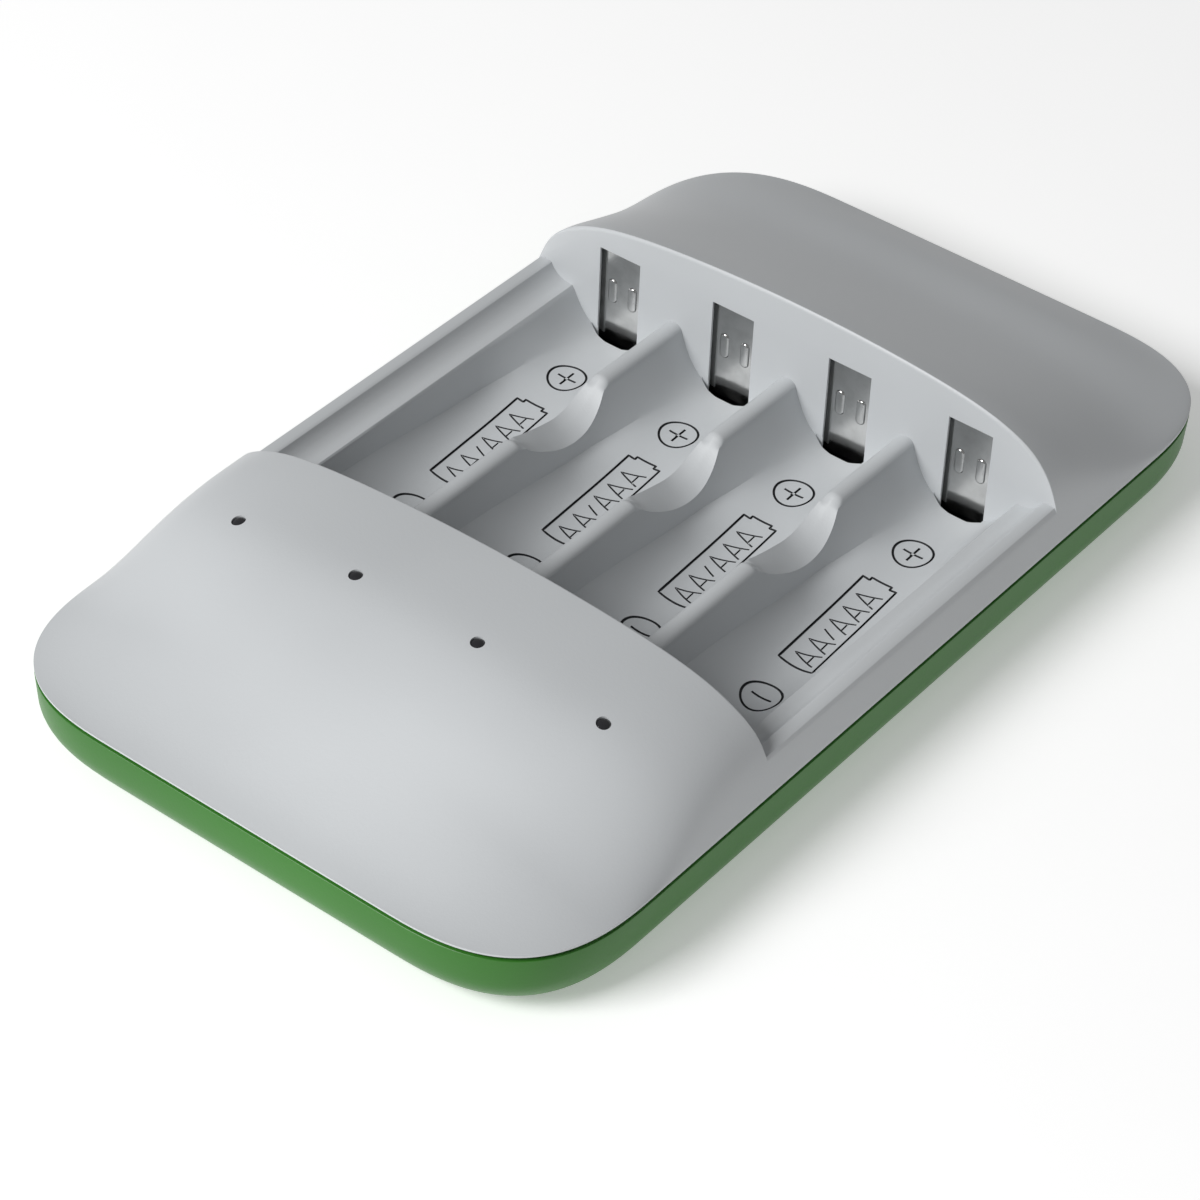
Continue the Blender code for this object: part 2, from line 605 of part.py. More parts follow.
def slider_spring(number, x, mat):
    """A coil of round wire along Y."""
    wire = SPRING_WIRE / 2
    start = spring_start() - wire
    length = SPRING_LENGTH - SPRING_WIRE
    steps = SPRING_TURNS * 8
    rings = []
    for i in range(steps + 1):
        share = i / steps
        a = 2 * math.pi * SPRING_TURNS * share
        radius = SPRING_R - wire
        y = start - length * share
        out = np.array([math.cos(a), 0.0, math.sin(a)])
        rise = np.array([0.0, -1.0, 0.0])
        centre = np.array([x, y, SPRING_Z]) + radius * out
        ring = []
        for k in range(5):
            b = 2 * math.pi * k / 5
            ring.append(tuple(centre + wire * (math.cos(b) * out + math.sin(b) * rise)))
        rings.append(ring)
    add_object(f"slider_spring_{number}", *loft(rings), mat)


def spring_terminal(number, x, mat):
    """A plate that the spring pushes on, soldered under the LED board."""
    y = spring_start() - SPRING_LENGTH - CLEARANCE / 2
    low = SLIDER_Z + SLIDER_THICK + CLEARANCE
    profile = [(y, low), (y, LED_BOARD_Z - SOLDER_GAP - TERMINAL_THICK),
               (y + 0.0022, LED_BOARD_Z - SOLDER_GAP - TERMINAL_THICK), (y + 0.0022, LED_BOARD_Z - SOLDER_GAP),
               (y - TERMINAL_THICK, LED_BOARD_Z - SOLDER_GAP), (y - TERMINAL_THICK, low)]
    half = TERMINAL_WIDTH / 2
    add_object(f"spring_terminal_{number}", *across(profile, x - half, x + half), mat)


def light_pipe(number, x, mat):
    """A rod from just over the LED to the hood's surface, with a collar under the skin."""
    base = LED_BOARD_Z + BOARD_THICK + SOLDER_GAP + LED_SIZE[2] + SOLDER_GAP
    rings = [[(a, b, base) for a, b in disc(x, LED_Y, PIPE_R, 16)]]
    rings.append([(a, b, float(surface(a, b)) - PIPE_SINK) for a, b in disc(x, LED_Y, PIPE_R, 16)])
    crown = float(surface(x, LED_Y)) + PIPE_SINK / 2
    rings.append([(a, b, crown) for a, b in disc(x, LED_Y, PIPE_R / 2, 16)])
    add_object(f"light_pipe_{number}", *loft(rings), mat)


def status_led(number, x, mat):
    base = LED_BOARD_Z + BOARD_THICK + SOLDER_GAP
    long, wide, tall = LED_SIZE
    add_object(f"status_led_{number}", *box(x - long / 2, x + long / 2, LED_Y - wide / 2, LED_Y + wide / 2,
                                            base, base + tall), mat)


def power_inlet(mat):
    """A small rounded socket: a thin metal sleeve, closed at the back, with a flat tongue inside."""
    width, depth, height = INLET_SIZE
    mouth = LENGTH / 2 - INLET_SINK
    z = inlet_z()
    body = add_object("power_inlet", *along(rounded(0.0, z, width, height, height * 0.45, 5), mouth - depth,
                                            mouth), mat)
    inner = rounded(0.0, z, width - 2 * INLET_WALL, height - 2 * INLET_WALL, height * 0.36, 5)
    bore = along(inner, mouth - depth + 3 * INLET_WALL, mouth + SKIN)
    combine(body, add_object("inlet_bore", *bore), "DIFFERENCE")
    wide, reach, thick = INLET_TONGUE
    tongue = box(-wide / 2, wide / 2, mouth - depth + INLET_WALL, mouth - depth + 3 * INLET_WALL + reach,
                 z - thick / 2, z + thick / 2)
    combine(body, add_object("inlet_tongue", *tongue), "UNION")


def boards(green, chip, metal, sleeve):
    z0, z1 = LED_BOARD_Z, LED_BOARD_Z + BOARD_THICK
    add_object("led_board", *box(-LED_BOARD_X, LED_BOARD_X, *LED_BOARD_Y, z0, z1), green)
    z0, z1 = POWER_BOARD_Z, POWER_BOARD_Z + BOARD_THICK
    add_object("power_board", *box(-POWER_BOARD_X, POWER_BOARD_X, *POWER_BOARD_Y, z0, z1), green)
    z = z1 + SOLDER_GAP
    x, y = CHIP_AT
    wide, deep, tall = CHIP_SIZE
    add_object("controller_chip", *box(x - wide / 2, x + wide / 2, y - deep / 2, y + deep / 2, z, z + tall), chip)
    wide, deep, tall = INDUCTOR_SIZE
    coil = rounded(*INDUCTOR_AT, wide, deep, wide * 0.22, 3)
    add_object("power_inductor", *prism(coil, z, z + tall), metal)
    for number, (x, radius, tall) in enumerate(CAPACITORS, 1):
        rings = [[(a, b, z + h) for a, b in disc(x, CAPACITOR_Y, r, 20)]
                 for r, h in ((radius, 0.0), (radius, tall - 0.0004), (radius - 0.0004, tall))]
        add_object(f"filter_capacitor_{number}", *loft(rings), sleeve)


def link_cable(mat):
    """A flat cable beside the bays that joins the two boards."""
    z = (LED_BOARD_Z - SOLDER_GAP, POWER_BOARD_Z + BOARD_THICK + SOLDER_GAP)
    y0, y1 = LED_Y - 0.0016, POWER_BOARD_Y[0] + CABLE_LANDING
    half, thick = CABLE_WIDTH / 2, CABLE_THICK
    path = [(-LED_BOARD_X + 0.0030, y0, z[0]), (-LED_BOARD_X - 0.0010, y0, z[0]),
            (-CABLE_X, y0 + 2 * half, 0.0), (-CABLE_X, y0 + 2 * half + 0.0040, CABLE_Z + 0.0005),
            (-CABLE_X, 0.0, CABLE_Z), (-CABLE_X + 0.0004, y1 - CABLE_LANDING, CABLE_Z),
            (-POWER_BOARD_X - 0.0020, y1, z[1] + 0.0012),
            (-POWER_BOARD_X + 0.0030, y1, z[1])]
    wide = [(0, half, 0), (0, half, 0), (0, 0.4 * half, half), (0, 0, half), (0, 0, half), (0, 0, half),
            (0, half, 0), (0, half, 0)]
    off = [(0, 0, -thick), (0, 0, -thick), (thick, 0, 0), (thick, 0, 0), (thick, 0, 0), (thick, 0, 0),
           (0, 0, thick), (0, 0, thick)]
    rings = []
    for p, w, t in zip(path, wide, off):
        p, w, t = np.array(p), np.array(w, dtype=float), np.array(t, dtype=float)
        rings.append([tuple(p - w), tuple(p + w), tuple(p + w + t), tuple(p - w + t)])
    cable = add_object("link_cable", *loft(rings), mat)
    cable.modifiers.new("flat_faces", "TRIANGULATE")


def screws(mat):
    for number, (x, y) in enumerate(screw_places(), 1):
        top = SCREW_SEAT_Z - CLEARANCE / 2
        rows = ((SCREW_HEAD_R, top - SCREW_HEAD_H), (SCREW_HEAD_R, top), (SCREW_SHANK_R, top),
                (SCREW_SHANK_R, screw_tip() - SCREW_SHANK_R * 0.6), (SCREW_SHANK_R * 0.5, screw_tip()))
        rings = [[(a, b, z) for a, b in disc(x, y, r, 16)] for r, z in rows]
        body = add_object(f"housing_screw_{number}", *loft(rings), mat)
        low, high = top - SCREW_HEAD_H - OVERLAP, top - SCREW_HEAD_H * 0.45
        arm, half = SCREW_HEAD_R * 0.6, SCREW_HEAD_R * 0.14
        cross = [(half, half), (half, arm), (-half, arm), (-half, half), (-arm, half), (-arm, -half),
                 (-half, -half), (-half, -arm), (half, -arm), (half, -half), (arm, -half), (arm, half)]
        recess = prism([(x + a, y + b) for a, b in cross], low, high)
        combine(body, add_object(f"screw_recess_{number}", *recess), "DIFFERENCE")


def feet(mat):
    for number, (x, y) in enumerate(foot_places(), 1):
        top = -SHELL_DEPTH + FOOT_RECESS - SOLDER_GAP
        low = -SHELL_DEPTH - FOOT_STAND
        rings = [[(a, b, z) for a, b in disc(x, y, r, 24)]
                 for r, z in ((FOOT_R - 0.0003, low), (FOOT_R, low + 0.0003), (FOOT_R, top))]
        add_object(f"rubber_foot_{number}", *loft(rings), mat)


def build():
    for obj in list(bpy.data.objects):
        bpy.data.objects.remove(obj)
    grey = material("housing", (0.60, 0.61, 0.62), 0.0, 0.45)
    green = material("shell", (0.06, 0.25, 0.04), 0.0, 0.35)
    nickel = material("contact_steel", (0.62, 0.62, 0.60), 1.0, 0.28)
    spring = material("spring_steel", (0.50, 0.50, 0.50), 1.0, 0.30)
    lens = material("light_pipe", (0.03, 0.03, 0.035), 0.0, 0.15)
    led = material("led", (0.85, 0.85, 0.80), 0.0, 0.30)
    board = material("circuit_board", (0.02, 0.18, 0.08), 0.0, 0.40)
    chip = material("chip_body", (0.03, 0.03, 0.03), 0.0, 0.50)
    ferrite = material("coil_body", (0.10, 0.10, 0.11), 0.0, 0.55)
    sleeve = material("capacitor_can", (0.65, 0.65, 0.66), 1.0, 0.35)
    cable = material("flat_cable", (0.80, 0.80, 0.78), 0.0, 0.50)
    steel = material("screw_steel", (0.45, 0.45, 0.45), 1.0, 0.35)
    inlet = material("inlet_steel", (0.60, 0.60, 0.60), 1.0, 0.30)
    rubber = material("foot_rubber", (0.04, 0.04, 0.04), 0.0, 0.80)

    top_housing(grey)
    bottom_shell(green)
    for number, x in enumerate(BAY_X, 1):
        positive_contact(number, x, nickel)
        negative_slider(number, x, nickel)
        slider_spring(number, x, spring)
        spring_terminal(number, x, nickel)
        light_pipe(number, x, lens)
        status_led(number, x, led)
    boards(board, chip, ferrite, sleeve)
    link_cable(cable)
    power_inlet(inlet)
    screws(steel)
    feet(rubber)


build()
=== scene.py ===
"""The look of the four-bay AA and AAA charger: fine mouldings, engraved marks, plated contacts, light.

Lengths are in millimetres about the parting plane of the two mouldings until place() turns them into
metres and lifts them by PARTING.
"""
import math

import bpy
import numpy as np
from mathutils import Matrix


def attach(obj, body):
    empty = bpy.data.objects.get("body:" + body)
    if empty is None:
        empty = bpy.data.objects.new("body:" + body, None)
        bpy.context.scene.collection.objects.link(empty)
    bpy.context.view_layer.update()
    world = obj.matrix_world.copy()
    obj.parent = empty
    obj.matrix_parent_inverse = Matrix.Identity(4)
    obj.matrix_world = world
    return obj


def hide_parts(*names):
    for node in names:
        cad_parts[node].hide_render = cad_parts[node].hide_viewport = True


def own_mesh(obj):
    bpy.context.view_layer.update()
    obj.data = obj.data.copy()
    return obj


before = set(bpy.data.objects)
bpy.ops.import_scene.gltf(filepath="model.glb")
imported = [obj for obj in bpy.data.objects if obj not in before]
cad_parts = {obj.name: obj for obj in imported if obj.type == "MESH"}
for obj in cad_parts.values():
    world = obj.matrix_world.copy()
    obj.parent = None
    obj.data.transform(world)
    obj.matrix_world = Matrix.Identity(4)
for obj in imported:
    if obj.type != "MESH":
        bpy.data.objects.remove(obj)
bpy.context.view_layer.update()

# The mouldings, as in the part's source
WIDE, LONG, CORNER, CORNER_POWER = 78.0, 134.2, 20.0, 2.8
FOOT_STAND, SHELL_DEPTH = 0.5, 9.0
PARTING = FOOT_STAND + SHELL_DEPTH
EDGE_DROP, EDGE_SHOWN, PARTING_GAP = 0.5, 0.25, 0.3
SKIN, SHELL_WALL, FLOOR_THICK, GAP = 1.6, 1.5, 1.2, 0.3
TONGUE_THICK, TONGUE_DEPTH = 1.2, 2.0
HOOD_EDGE, WALL = -26.9, 28.3
HOOD_CROWN = ((-67.1, 0.0), (-61.0, 2.3), (-54.0, 6.1), (-46.5, 9.9), (-39.4, 12.0), (-26.9, 12.5))
DECK_CROWN = ((28.3, 14.6), (34.0, 12.2), (40.0, 9.6), (46.0, 6.9), (52.0, 4.75), (58.0, 3.45),
              (62.5, 2.3), (67.1, 0.0))
CROWN_BLUR, DIP_BLUR, BLUR_STEP = 2.2, 0.7, 0.05
CROSS_SAG, SIDE_SLOPE, BLEND_POWER = 0.000165, 3.3, 6
EDGE_POWER, HOOD_POWER, DECK_POWER = 8.0, 3.6, 3.0
EDGE_ROOT, HOOD_ROOT, DECK_ROOT = 2.0, 1.0, 1.2
HOOD_EVEN, HOOD_CHANGE = 4.0, 24.0
BELOW_ALL, ABOVE_ALL = -11.0, 18.0

# Bays
PITCH, RIDGE_TOP, RIDGE_ROUND = 17.0, 3.8, 1.2
RIDGE_BEND, RIDGE_FOOT = 0.8 * RIDGE_ROUND, PITCH / 2 - RIDGE_ROUND
HOLLOW_FROM, HOLLOW_RUN, HOLLOW_POWER, SIDE_HOLLOW_POWER = 13.0, 12.0, 3.3, 3.0
BAY_X = (-1.5 * PITCH, -0.5 * PITCH, 0.5 * PITCH, 1.5 * PITCH)
BAY_END = -31.0
FLOOR_CENTRE = ((-31.0, -5.9), (-9.8, -5.8), (3.2, -4.8), (18.2, -3.4), (28.3, -3.2))
FLOOR_HALF = ((-31.0, 6.8), (-14.8, 6.7), (8.2, 6.2), (16.0, 4.8), (28.3, 3.3))
FLOOR_LINE = ((-31.0, -1.2), (-14.8, -1.3), (8.2, -2.9), (18.0, -2.2), (28.3, -2.15))
SCOOP_LOW = ((-2.7, 4.0), (-1.1, 2.4), (1.4, 0.8), (4.4, -0.5), (6.8, -0.9), (8.8, -0.7), (10.6, 0.3),
             (12.2, 1.8), (14.4, 4.0))
SCOOP_HIGH = ((-2.7, 4.0), (-0.9, 2.9), (2.0, 1.9), (5.0, 1.1), (7.6, 0.6), (9.4, 0.8), (11.0, 1.6),
              (12.6, 2.7), (14.4, 4.0))
SCOOP_TURN, SCOOP_BEND = 0.9, 0.1
LEDGE_X, LEDGE_Z, LEDGE_SOFT, FLANK_SHARE = 32.5, 1.9, 0.12, 0.94
RIM = ((32.5, 1.9), (33.7, 2.0), (34.8, 2.45), (35.6, 3.2), (36.1, 3.9), (36.9, 3.95), (37.5, 3.9),
       (37.95, 3.35), (38.55, 1.5), (39.5, -1.4))
RIM_TOP = 3.95

# Contacts
SLOT_WIDE, SLOT_TOP, SLOT_LIP = 6.07, 9.42, 0.3
NOTCH_SPARE, NOTCH_DEEP, NOTCH_TOP = 0.9, 1.0, -2.2
PLATE_BACK, PLATE_WIDE, PLATE_THICK, PLATE_FOOT = 0.5, 7.0, 0.4, 36.2
PLATE_BEND, PLATE_TOP = 1.0, SLOT_TOP + 0.5
RIB_X, RIB_WIDE, RIB_LOW, RIB_HIGH, RIB_PROUD = 1.5, 1.3, 1.5, 5.0, 0.22
SLIDER_WIDE, SLIDER_THICK, SLIDER_LOW = 3.2, 0.4, -5.8
TOE, TOE_WIDE, TOE_TOP = -16.2, 4.0, -4.0
TAIL_WIDE, TAIL_TOP = 4.6, -1.2
COIL_R, COIL_WIRE, COIL_TURNS, COIL_START, COIL_END, COIL_Z = 1.8, 0.35, 7, -33.06, -45.04, -3.3

# Small parts
LED_ROW, PIPE_R, PIPE_RING, WINDOW_SINK, WINDOW_DOME = -39.4, 0.74, 0.08, 0.16, 0.22
BOARD, LED_BOARD, POWER_BOARD, LED_TALL, SOLDER = 1.5, 2.9, -6.6, 1.1, 0.1
INLET = (9.0, 7.4, 3.2)
INLET_WALL, INLET_SINK, FULL_ROUND = 0.3, 0.6, 0.499
SCREW_X, SCREW_Y, SCREW_SEAT, SCREW_LONG = 28.5, 50.0, -6.0, 7.0
HEAD_R, HEAD_H, SHANK_R, BOSS_R, BOSS_SPLIT = 2.2, 1.6, 1.1, 2.8, -4.5
FOOT_X, FOOT_Y, FOOT_R, FOOT_RECESS = 20.0, 56.0, 4.0, 0.7
SHELL_DRAFT, SHELL_ROUND, SHELL_LIP = 0.05, 5.0, 0.12
HOLE_FLARE, POST_R, THREAD_STEP, THREAD_DEEP = 0.25, 1.8, 0.225, 0.16
LED_POSTS = [(x, -41.75) for x in (-PITCH, 0.0, PITCH)]
POWER_POSTS = [(x, y) for x in (-19.2, 19.2) for y in (37.1, 54.0)]

# Marks pressed into the bay floors
MARK_WIDE, LETTER_WIDE, MARK_DEEP = 0.30, 0.22, 0.30
RING_R, PLUS_AT, MINUS_AT = 2.35, 18.6, -10.4
SIGN_HALF, STROKE_STEP = 1.35, 0.35
CELL_HALF, CELL_NEAR, CELL_FAR, CELL_NUB, NUB_SHARE = 2.3, -4.1, 12.0, 0.5, 0.6
LETTERS_AT = (-2.2, 0.35, 4.25, 6.8, 9.35)
LETTER_APEX, LETTER_FOOT, LETTER_BAR, LETTER_HALF = -1.35, 1.65, 0.75, 1.0
SLASH = ((1.0, 1.9), (-0.9, 2.7))


# ---------------------------------------------------------------- lines and surfaces


def curve(knots, t):
    """Smooth line through knots, by cubic pieces whose slopes are harmonic means, so none overshoots."""
    x, y = np.array(knots, dtype=float).T
    h = np.diff(x)
    slope = np.diff(y) / h
    tangent = np.zeros(len(x))
    a, b = 2 * h[1:] + h[:-1], h[1:] + 2 * h[:-1]
    rising = slope[:-1] * slope[1:] > 0
    safe = np.where(rising[:, None], np.stack([slope[:-1], slope[1:]], axis=1), 1.0)
    tangent[1:-1] = np.where(rising, (a + b) / (a / safe[:, 0] + b / safe[:, 1]), 0.0)
    t = np.clip(np.asarray(t, dtype=float), x[0], x[-1])
    i = np.clip(np.searchsorted(x, t, side="right") - 1, 0, len(h) - 1)
    s = (t - x[i]) / h[i]
    value = y[i] * (1 + 2 * s) * (1 - s) ** 2 + y[i + 1] * s * s * (3 - 2 * s)
    return value + h[i] * (tangent[i] * s * (1 - s) ** 2 + tangent[i + 1] * s * s * (s - 1))


def ease(a, b, t):
    """From a to b as t goes from 0 to 1, level at both ends: 3 t^2 - 2 t^3."""
    t = np.clip(t, 0.0, 1.0)
    return a + (b - a) * t * t * (3 - 2 * t)


def blurred(knots, spread, turn_start=False, turn_end=False):
    """A table (y, z) of a line through knots, averaged with a bell of that spread so it has no kinks.

    The bell is exp(-(r / spread)^2 / 2). Past an end that has to keep its height the line goes on turned
    about that end, and elsewhere it goes on level.
    """
    (first, low), (last, high) = knots[0], knots[-1]
    y = np.arange(first - 8 * spread, last + 8 * spread, BLUR_STEP)
    line = curve(knots, y)
    if turn_start:
        line = np.where(y < first, 2 * low - curve(knots, 2 * first - y), line)
    if turn_end:
        line = np.where(y > last, 2 * high - curve(knots, 2 * last - y), line)
    reach = np.arange(-4 * spread, 4 * spread, BLUR_STEP)
    bell = np.exp(-0.5 * (reach / spread) ** 2)
    return y[len(bell) // 2:][:len(y) - len(bell) + 1], np.convolve(line, bell / bell.sum(), mode="valid")


HOOD_LINE = blurred(HOOD_CROWN, CROWN_BLUR, turn_start=True)
DECK_LINE = blurred(DECK_CROWN, CROWN_BLUR, turn_start=True, turn_end=True)
LOW_LINE = blurred(SCOOP_LOW, DIP_BLUR, turn_start=True, turn_end=True)
HIGH_LINE = blurred(SCOOP_HIGH, DIP_BLUR, turn_start=True, turn_end=True)


def half_width(y, inset=0.0):
    """Half the outline's width at y: straight sides, then |x/r|^p + |y/r|^p = 1 round each corner."""
    radius = CORNER - inset
    into = np.clip((np.abs(y) - (LONG / 2 - CORNER)) / radius, 0.0, 1.0)
    return WIDE / 2 - CORNER + radius * (1 - into ** CORNER_POWER) ** (1 / CORNER_POWER)


def outline(inset, steps=28):
    """The same outline as a ring of points, worked out by angle a as (cos a)^(2/p), (sin a)^(2/p)."""
    a = np.linspace(0, math.pi / 2, steps + 1)
    c = np.cos(a).clip(0) ** (2 / CORNER_POWER) * (CORNER - inset)
    s = np.sin(a).clip(0) ** (2 / CORNER_POWER) * (CORNER - inset)
    cx, cy = WIDE / 2 - CORNER, LONG / 2 - CORNER
    first = np.stack([cx + c, cy + s], axis=1)
    second = np.stack([-cx - c[::-1], cy + s[::-1]], axis=1)
    return np.concatenate([first, second, -first, -second])


def skin(x, y):
    """Height of hood or deck, a soft least of an arch and the side slope.

    The arch is a = crown(y) (1 - k x^2) (1 - (x / w)^n)^(1 / m), where n and m change from the open edge
    towards the end, the side is b = slope (w - x), and the height is (a^-6 + b^-6)^(-1/6).
    """
    hood = y < 0
    front = (HOOD_EDGE - HOOD_EVEN - y) / HOOD_CHANGE
    back = (y - WALL) / (LONG / 2 - WALL)
    crown = np.where(hood, np.interp(y, *HOOD_LINE), np.interp(y, *DECK_LINE))
    power = np.where(hood, ease(EDGE_POWER, HOOD_POWER, front), ease(EDGE_POWER, DECK_POWER, back))
    root = np.where(hood, ease(EDGE_ROOT, HOOD_ROOT, front), ease(EDGE_ROOT, DECK_ROOT, back))
    width = half_width(y)
    u = np.clip(np.abs(x) / width, 0.0, 1.0)
    arch = crown * (1 - CROSS_SAG * x * x) * (1 - u ** power) ** (1 / root)
    side = SIDE_SLOPE * (width - np.abs(x))
    both = (arch > 1e-6) & (side > 1e-6)
    a, b = np.where(both, arch, 1.0), np.where(both, side, 1.0)
    return np.where(both, (a ** -BLEND_POWER + b ** -BLEND_POWER) ** (-1 / BLEND_POWER), 0.0)


def floor_lines(y):
    """A bay floor's height in the middle, its arc's half width, and its height where the flank starts."""
    return curve(FLOOR_CENTRE, y), curve(FLOOR_HALF, y), curve(FLOOR_LINE, y)


def hollowed(y):
    """How far the floor has turned into the hollow that meets the wall, from 0 to 1."""
    return ease(0.0, 1.0, (y - HOLLOW_FROM) / HOLLOW_RUN)


def bay_half(y, fine, dip):
    """One side of a bay's section at each y: floor arc, straight flank and the ridge's round top.

    The floor is c + (l - c) f^2 up to the line where the straight flank starts; towards the wall both
    turn into one hollow, c + (s - c) (x / t)^3.3; the top is a quarter of an ellipse, and in a scoop a
    straight slope from one flank, at the height of dip, through the mean of both.
    Returns across and height, both (len(y), points), from the floor's middle to the ridge's middle.
    """
    centre, half, line = floor_lines(y)
    low, high = (np.minimum(RIDGE_TOP, np.interp(y, *table)) for table in (LOW_LINE, HIGH_LINE))
    crest = (low + high) / 2
    shoulder = RIDGE_TOP - RIDGE_BEND
    scooped = ease(0.0, 1.0, (RIDGE_TOP - crest) / SCOOP_TURN)
    edge = np.minimum(RIDGE_TOP, np.interp(y, *dip)) - (RIDGE_BEND + (SCOOP_BEND - RIDGE_BEND) * scooped)
    share = np.minimum(1.0, (edge - line) / (shoulder - line))
    f = np.linspace(0, 1, 6 * fine + 1)
    g = np.linspace(0, 1, 4 * fine + 1)[1:] * share[:, None]
    x = np.concatenate([half[:, None] * f, half[:, None] + (RIDGE_FOOT - half)[:, None] * g], axis=1)
    z = np.concatenate([centre[:, None] + (line - centre)[:, None] * f * f,
                        line[:, None] + (shoulder - line)[:, None] * g], axis=1)
    hollow = centre[:, None] + (shoulder - centre)[:, None] * (x / RIDGE_FOOT) ** HOLLOW_POWER
    z += (hollow - z) * hollowed(y)[:, None]
    a = np.linspace(0, math.pi / 2, 4 * fine + 1)[1:]
    start_x, start_z = x[:, -1:], z[:, -1:]
    crest_x = start_x + (PITCH / 2 - start_x) * (1 - np.cos(a))
    crest_z = start_z + (crest[:, None] - start_z) * (
        np.sin(a) + (1 - np.cos(a) - np.sin(a)) * scooped[:, None])
    return np.concatenate([x, crest_x], axis=1), np.concatenate([z, crest_z], axis=1)


def bay_floor(x, y):
    """The floor's height at x across from the bay's middle and y along, as bay_half works it out."""
    centre, half, line = floor_lines(y)
    flat = centre + (line - centre) * (x / half) ** 2
    hollow = centre + (RIDGE_TOP - RIDGE_BEND - centre) * (np.abs(x) / RIDGE_FOOT) ** HOLLOW_POWER
    return flat + (hollow - flat) * hollowed(y)


def side_half(y, fine):
    """The outer side of an end bay: floor arc, then a straight flank up to the ledge's soft edge."""
    centre, half, line = floor_lines(y)
    ledge = LEDGE_X - BAY_X[3]
    f = np.linspace(0, 1, 6 * fine + 1)
    g = np.linspace(0, FLANK_SHARE, 4 * fine + 1)[1:]
    x = np.concatenate([half[:, None] * f, half[:, None] + (ledge - half)[:, None] * g,
                        np.full((len(y), 1), ledge + LEDGE_SOFT)], axis=1)
    z = np.concatenate([centre[:, None] + (line - centre)[:, None] * f * f,
                        line[:, None] + (LEDGE_Z - line)[:, None] * g,
                        np.full((len(y), 1), LEDGE_Z)], axis=1)
    hollow = centre[:, None] + (LEDGE_Z - centre)[:, None] * np.minimum(x / ledge, 1.0) ** SIDE_HOLLOW_POWER
    return x, z + (hollow - z) * hollowed(y)[:, None]


def trough(y, fine):
    """The whole section over four bays and three ridges at each y, from the left ledge to the right."""
    outer, low, high = side_half(y, fine), bay_half(y, fine, LOW_LINE), bay_half(y, fine, HIGH_LINE)
    x, z = [], []
    for bay, left, right in zip(BAY_X, (outer, low, low, low), (high, high, high, outer)):
        last = None if right is outer else -1
        x += [bay - left[0][:, :0:-1], bay + right[0][:, :last]]
        z += [left[1][:, :0:-1], right[1][:, :last]]
    return np.concatenate(x, axis=1), np.concatenate(z, axis=1)


def rim_line(steps):
    """The side rim's section, its corners eased by a smooth line through the same points."""
    points = np.array(RIM)
    lengths = np.concatenate([[0], np.cumsum(np.hypot(*np.diff(points, axis=0).T))])
    t = np.linspace(0.0, lengths[-1], steps)
    return np.stack([curve(np.stack([lengths, points[:, 0]], 1), t),
                     curve(np.stack([lengths, points[:, 1]], 1), t)], axis=1)


def sink(x, z, depth):
    """The lower side of a wall under the line (x, z), each point the least z - sqrt(d^2 - r^2) near it."""
    fine = np.linspace(x[0] - depth, x[-1] + depth, 500)
    line = np.interp(fine, x, z)
    reach = fine[None, :] - x[:, None]
    drop = np.sqrt(np.clip(depth ** 2 - reach ** 2, 0, None))
    return np.min(np.where(np.abs(reach) <= depth, line[None, :] - drop, np.inf), axis=1)


# ---------------------------------------------------------------- meshes


def added(name, data):
    """A new object made of that data, put into the scene."""
    obj = bpy.data.objects.new(name, data)
    bpy.context.scene.collection.objects.link(obj)
    return obj


def outward(points, faces, caps=()):
    """Points, quads and caps, the faces turned over if the solid they close has a negative volume."""
    centre = points.mean(axis=0)
    volume = 0.0
    for ring in [points[faces].transpose(1, 0, 2)] + [points[cap][:, None] for cap in caps]:
        moved = ring - centre
        for a, b in zip(moved[1:-1], moved[2:]):
            volume += np.sum(moved[0] * np.cross(a, b))
    if volume < 0:
        return points, faces[:, ::-1], tuple(cap[::-1] for cap in caps)
    return points, faces, caps


def place(name, verts, faces, caps=(), smooth=32.0):
    """A mesh from points and quads; caps are longer faces. Millimetres become metres here."""
    mesh = bpy.data.meshes.new(name)
    points = (np.asarray(verts, dtype=float) + (0, 0, PARTING)) * 0.001
    mesh.from_pydata(points.tolist(), [], np.asarray(faces).tolist() + [list(c) for c in caps])
    mesh.validate()
    obj = added(name, mesh)
    finish_edges(obj, smooth)
    return obj


def finish_edges(obj, smooth):
    """Shades smooth across edges that turn by less than the given angle."""
    obj.data.shade_smooth()
    obj.data.set_sharp_from_angle(angle=math.radians(smooth))


def loft(name, rings, smooth=32.0):
    """A closed solid through rings, given as an array (rings, points, 3), with a face at each end."""
    rings = np.asarray(rings, dtype=float)
    n, m, _ = rings.shape
    i, j = np.meshgrid(np.arange(n - 1), np.arange(m), indexing="ij")
    k = (j + 1) % m
    faces = np.stack([i * m + j, i * m + k, (i + 1) * m + k, (i + 1) * m + j], axis=-1).reshape(-1, 4)
    caps = (list(range(m))[::-1], list(range((n - 1) * m, n * m)))
    return place(name, *outward(rings.reshape(-1, 3), faces, caps), smooth)


def levels(ring, heights):
    """Copies of an (x, y) ring at each height."""
    ring = np.asarray(ring, dtype=float)
    return np.stack([np.column_stack([ring, np.full(len(ring), z)]) for z in heights])


def prism(name, ring, low, high):
    """A straight-sided solid over an (x, y) ring, between two heights."""
    return loft(name, levels(ring, (low, high)))


def upright(ring, y):
    """An (x, z) ring standing at one place along Y."""
    return np.column_stack([ring[:, 0], np.full(len(ring), y), ring[:, 1]])


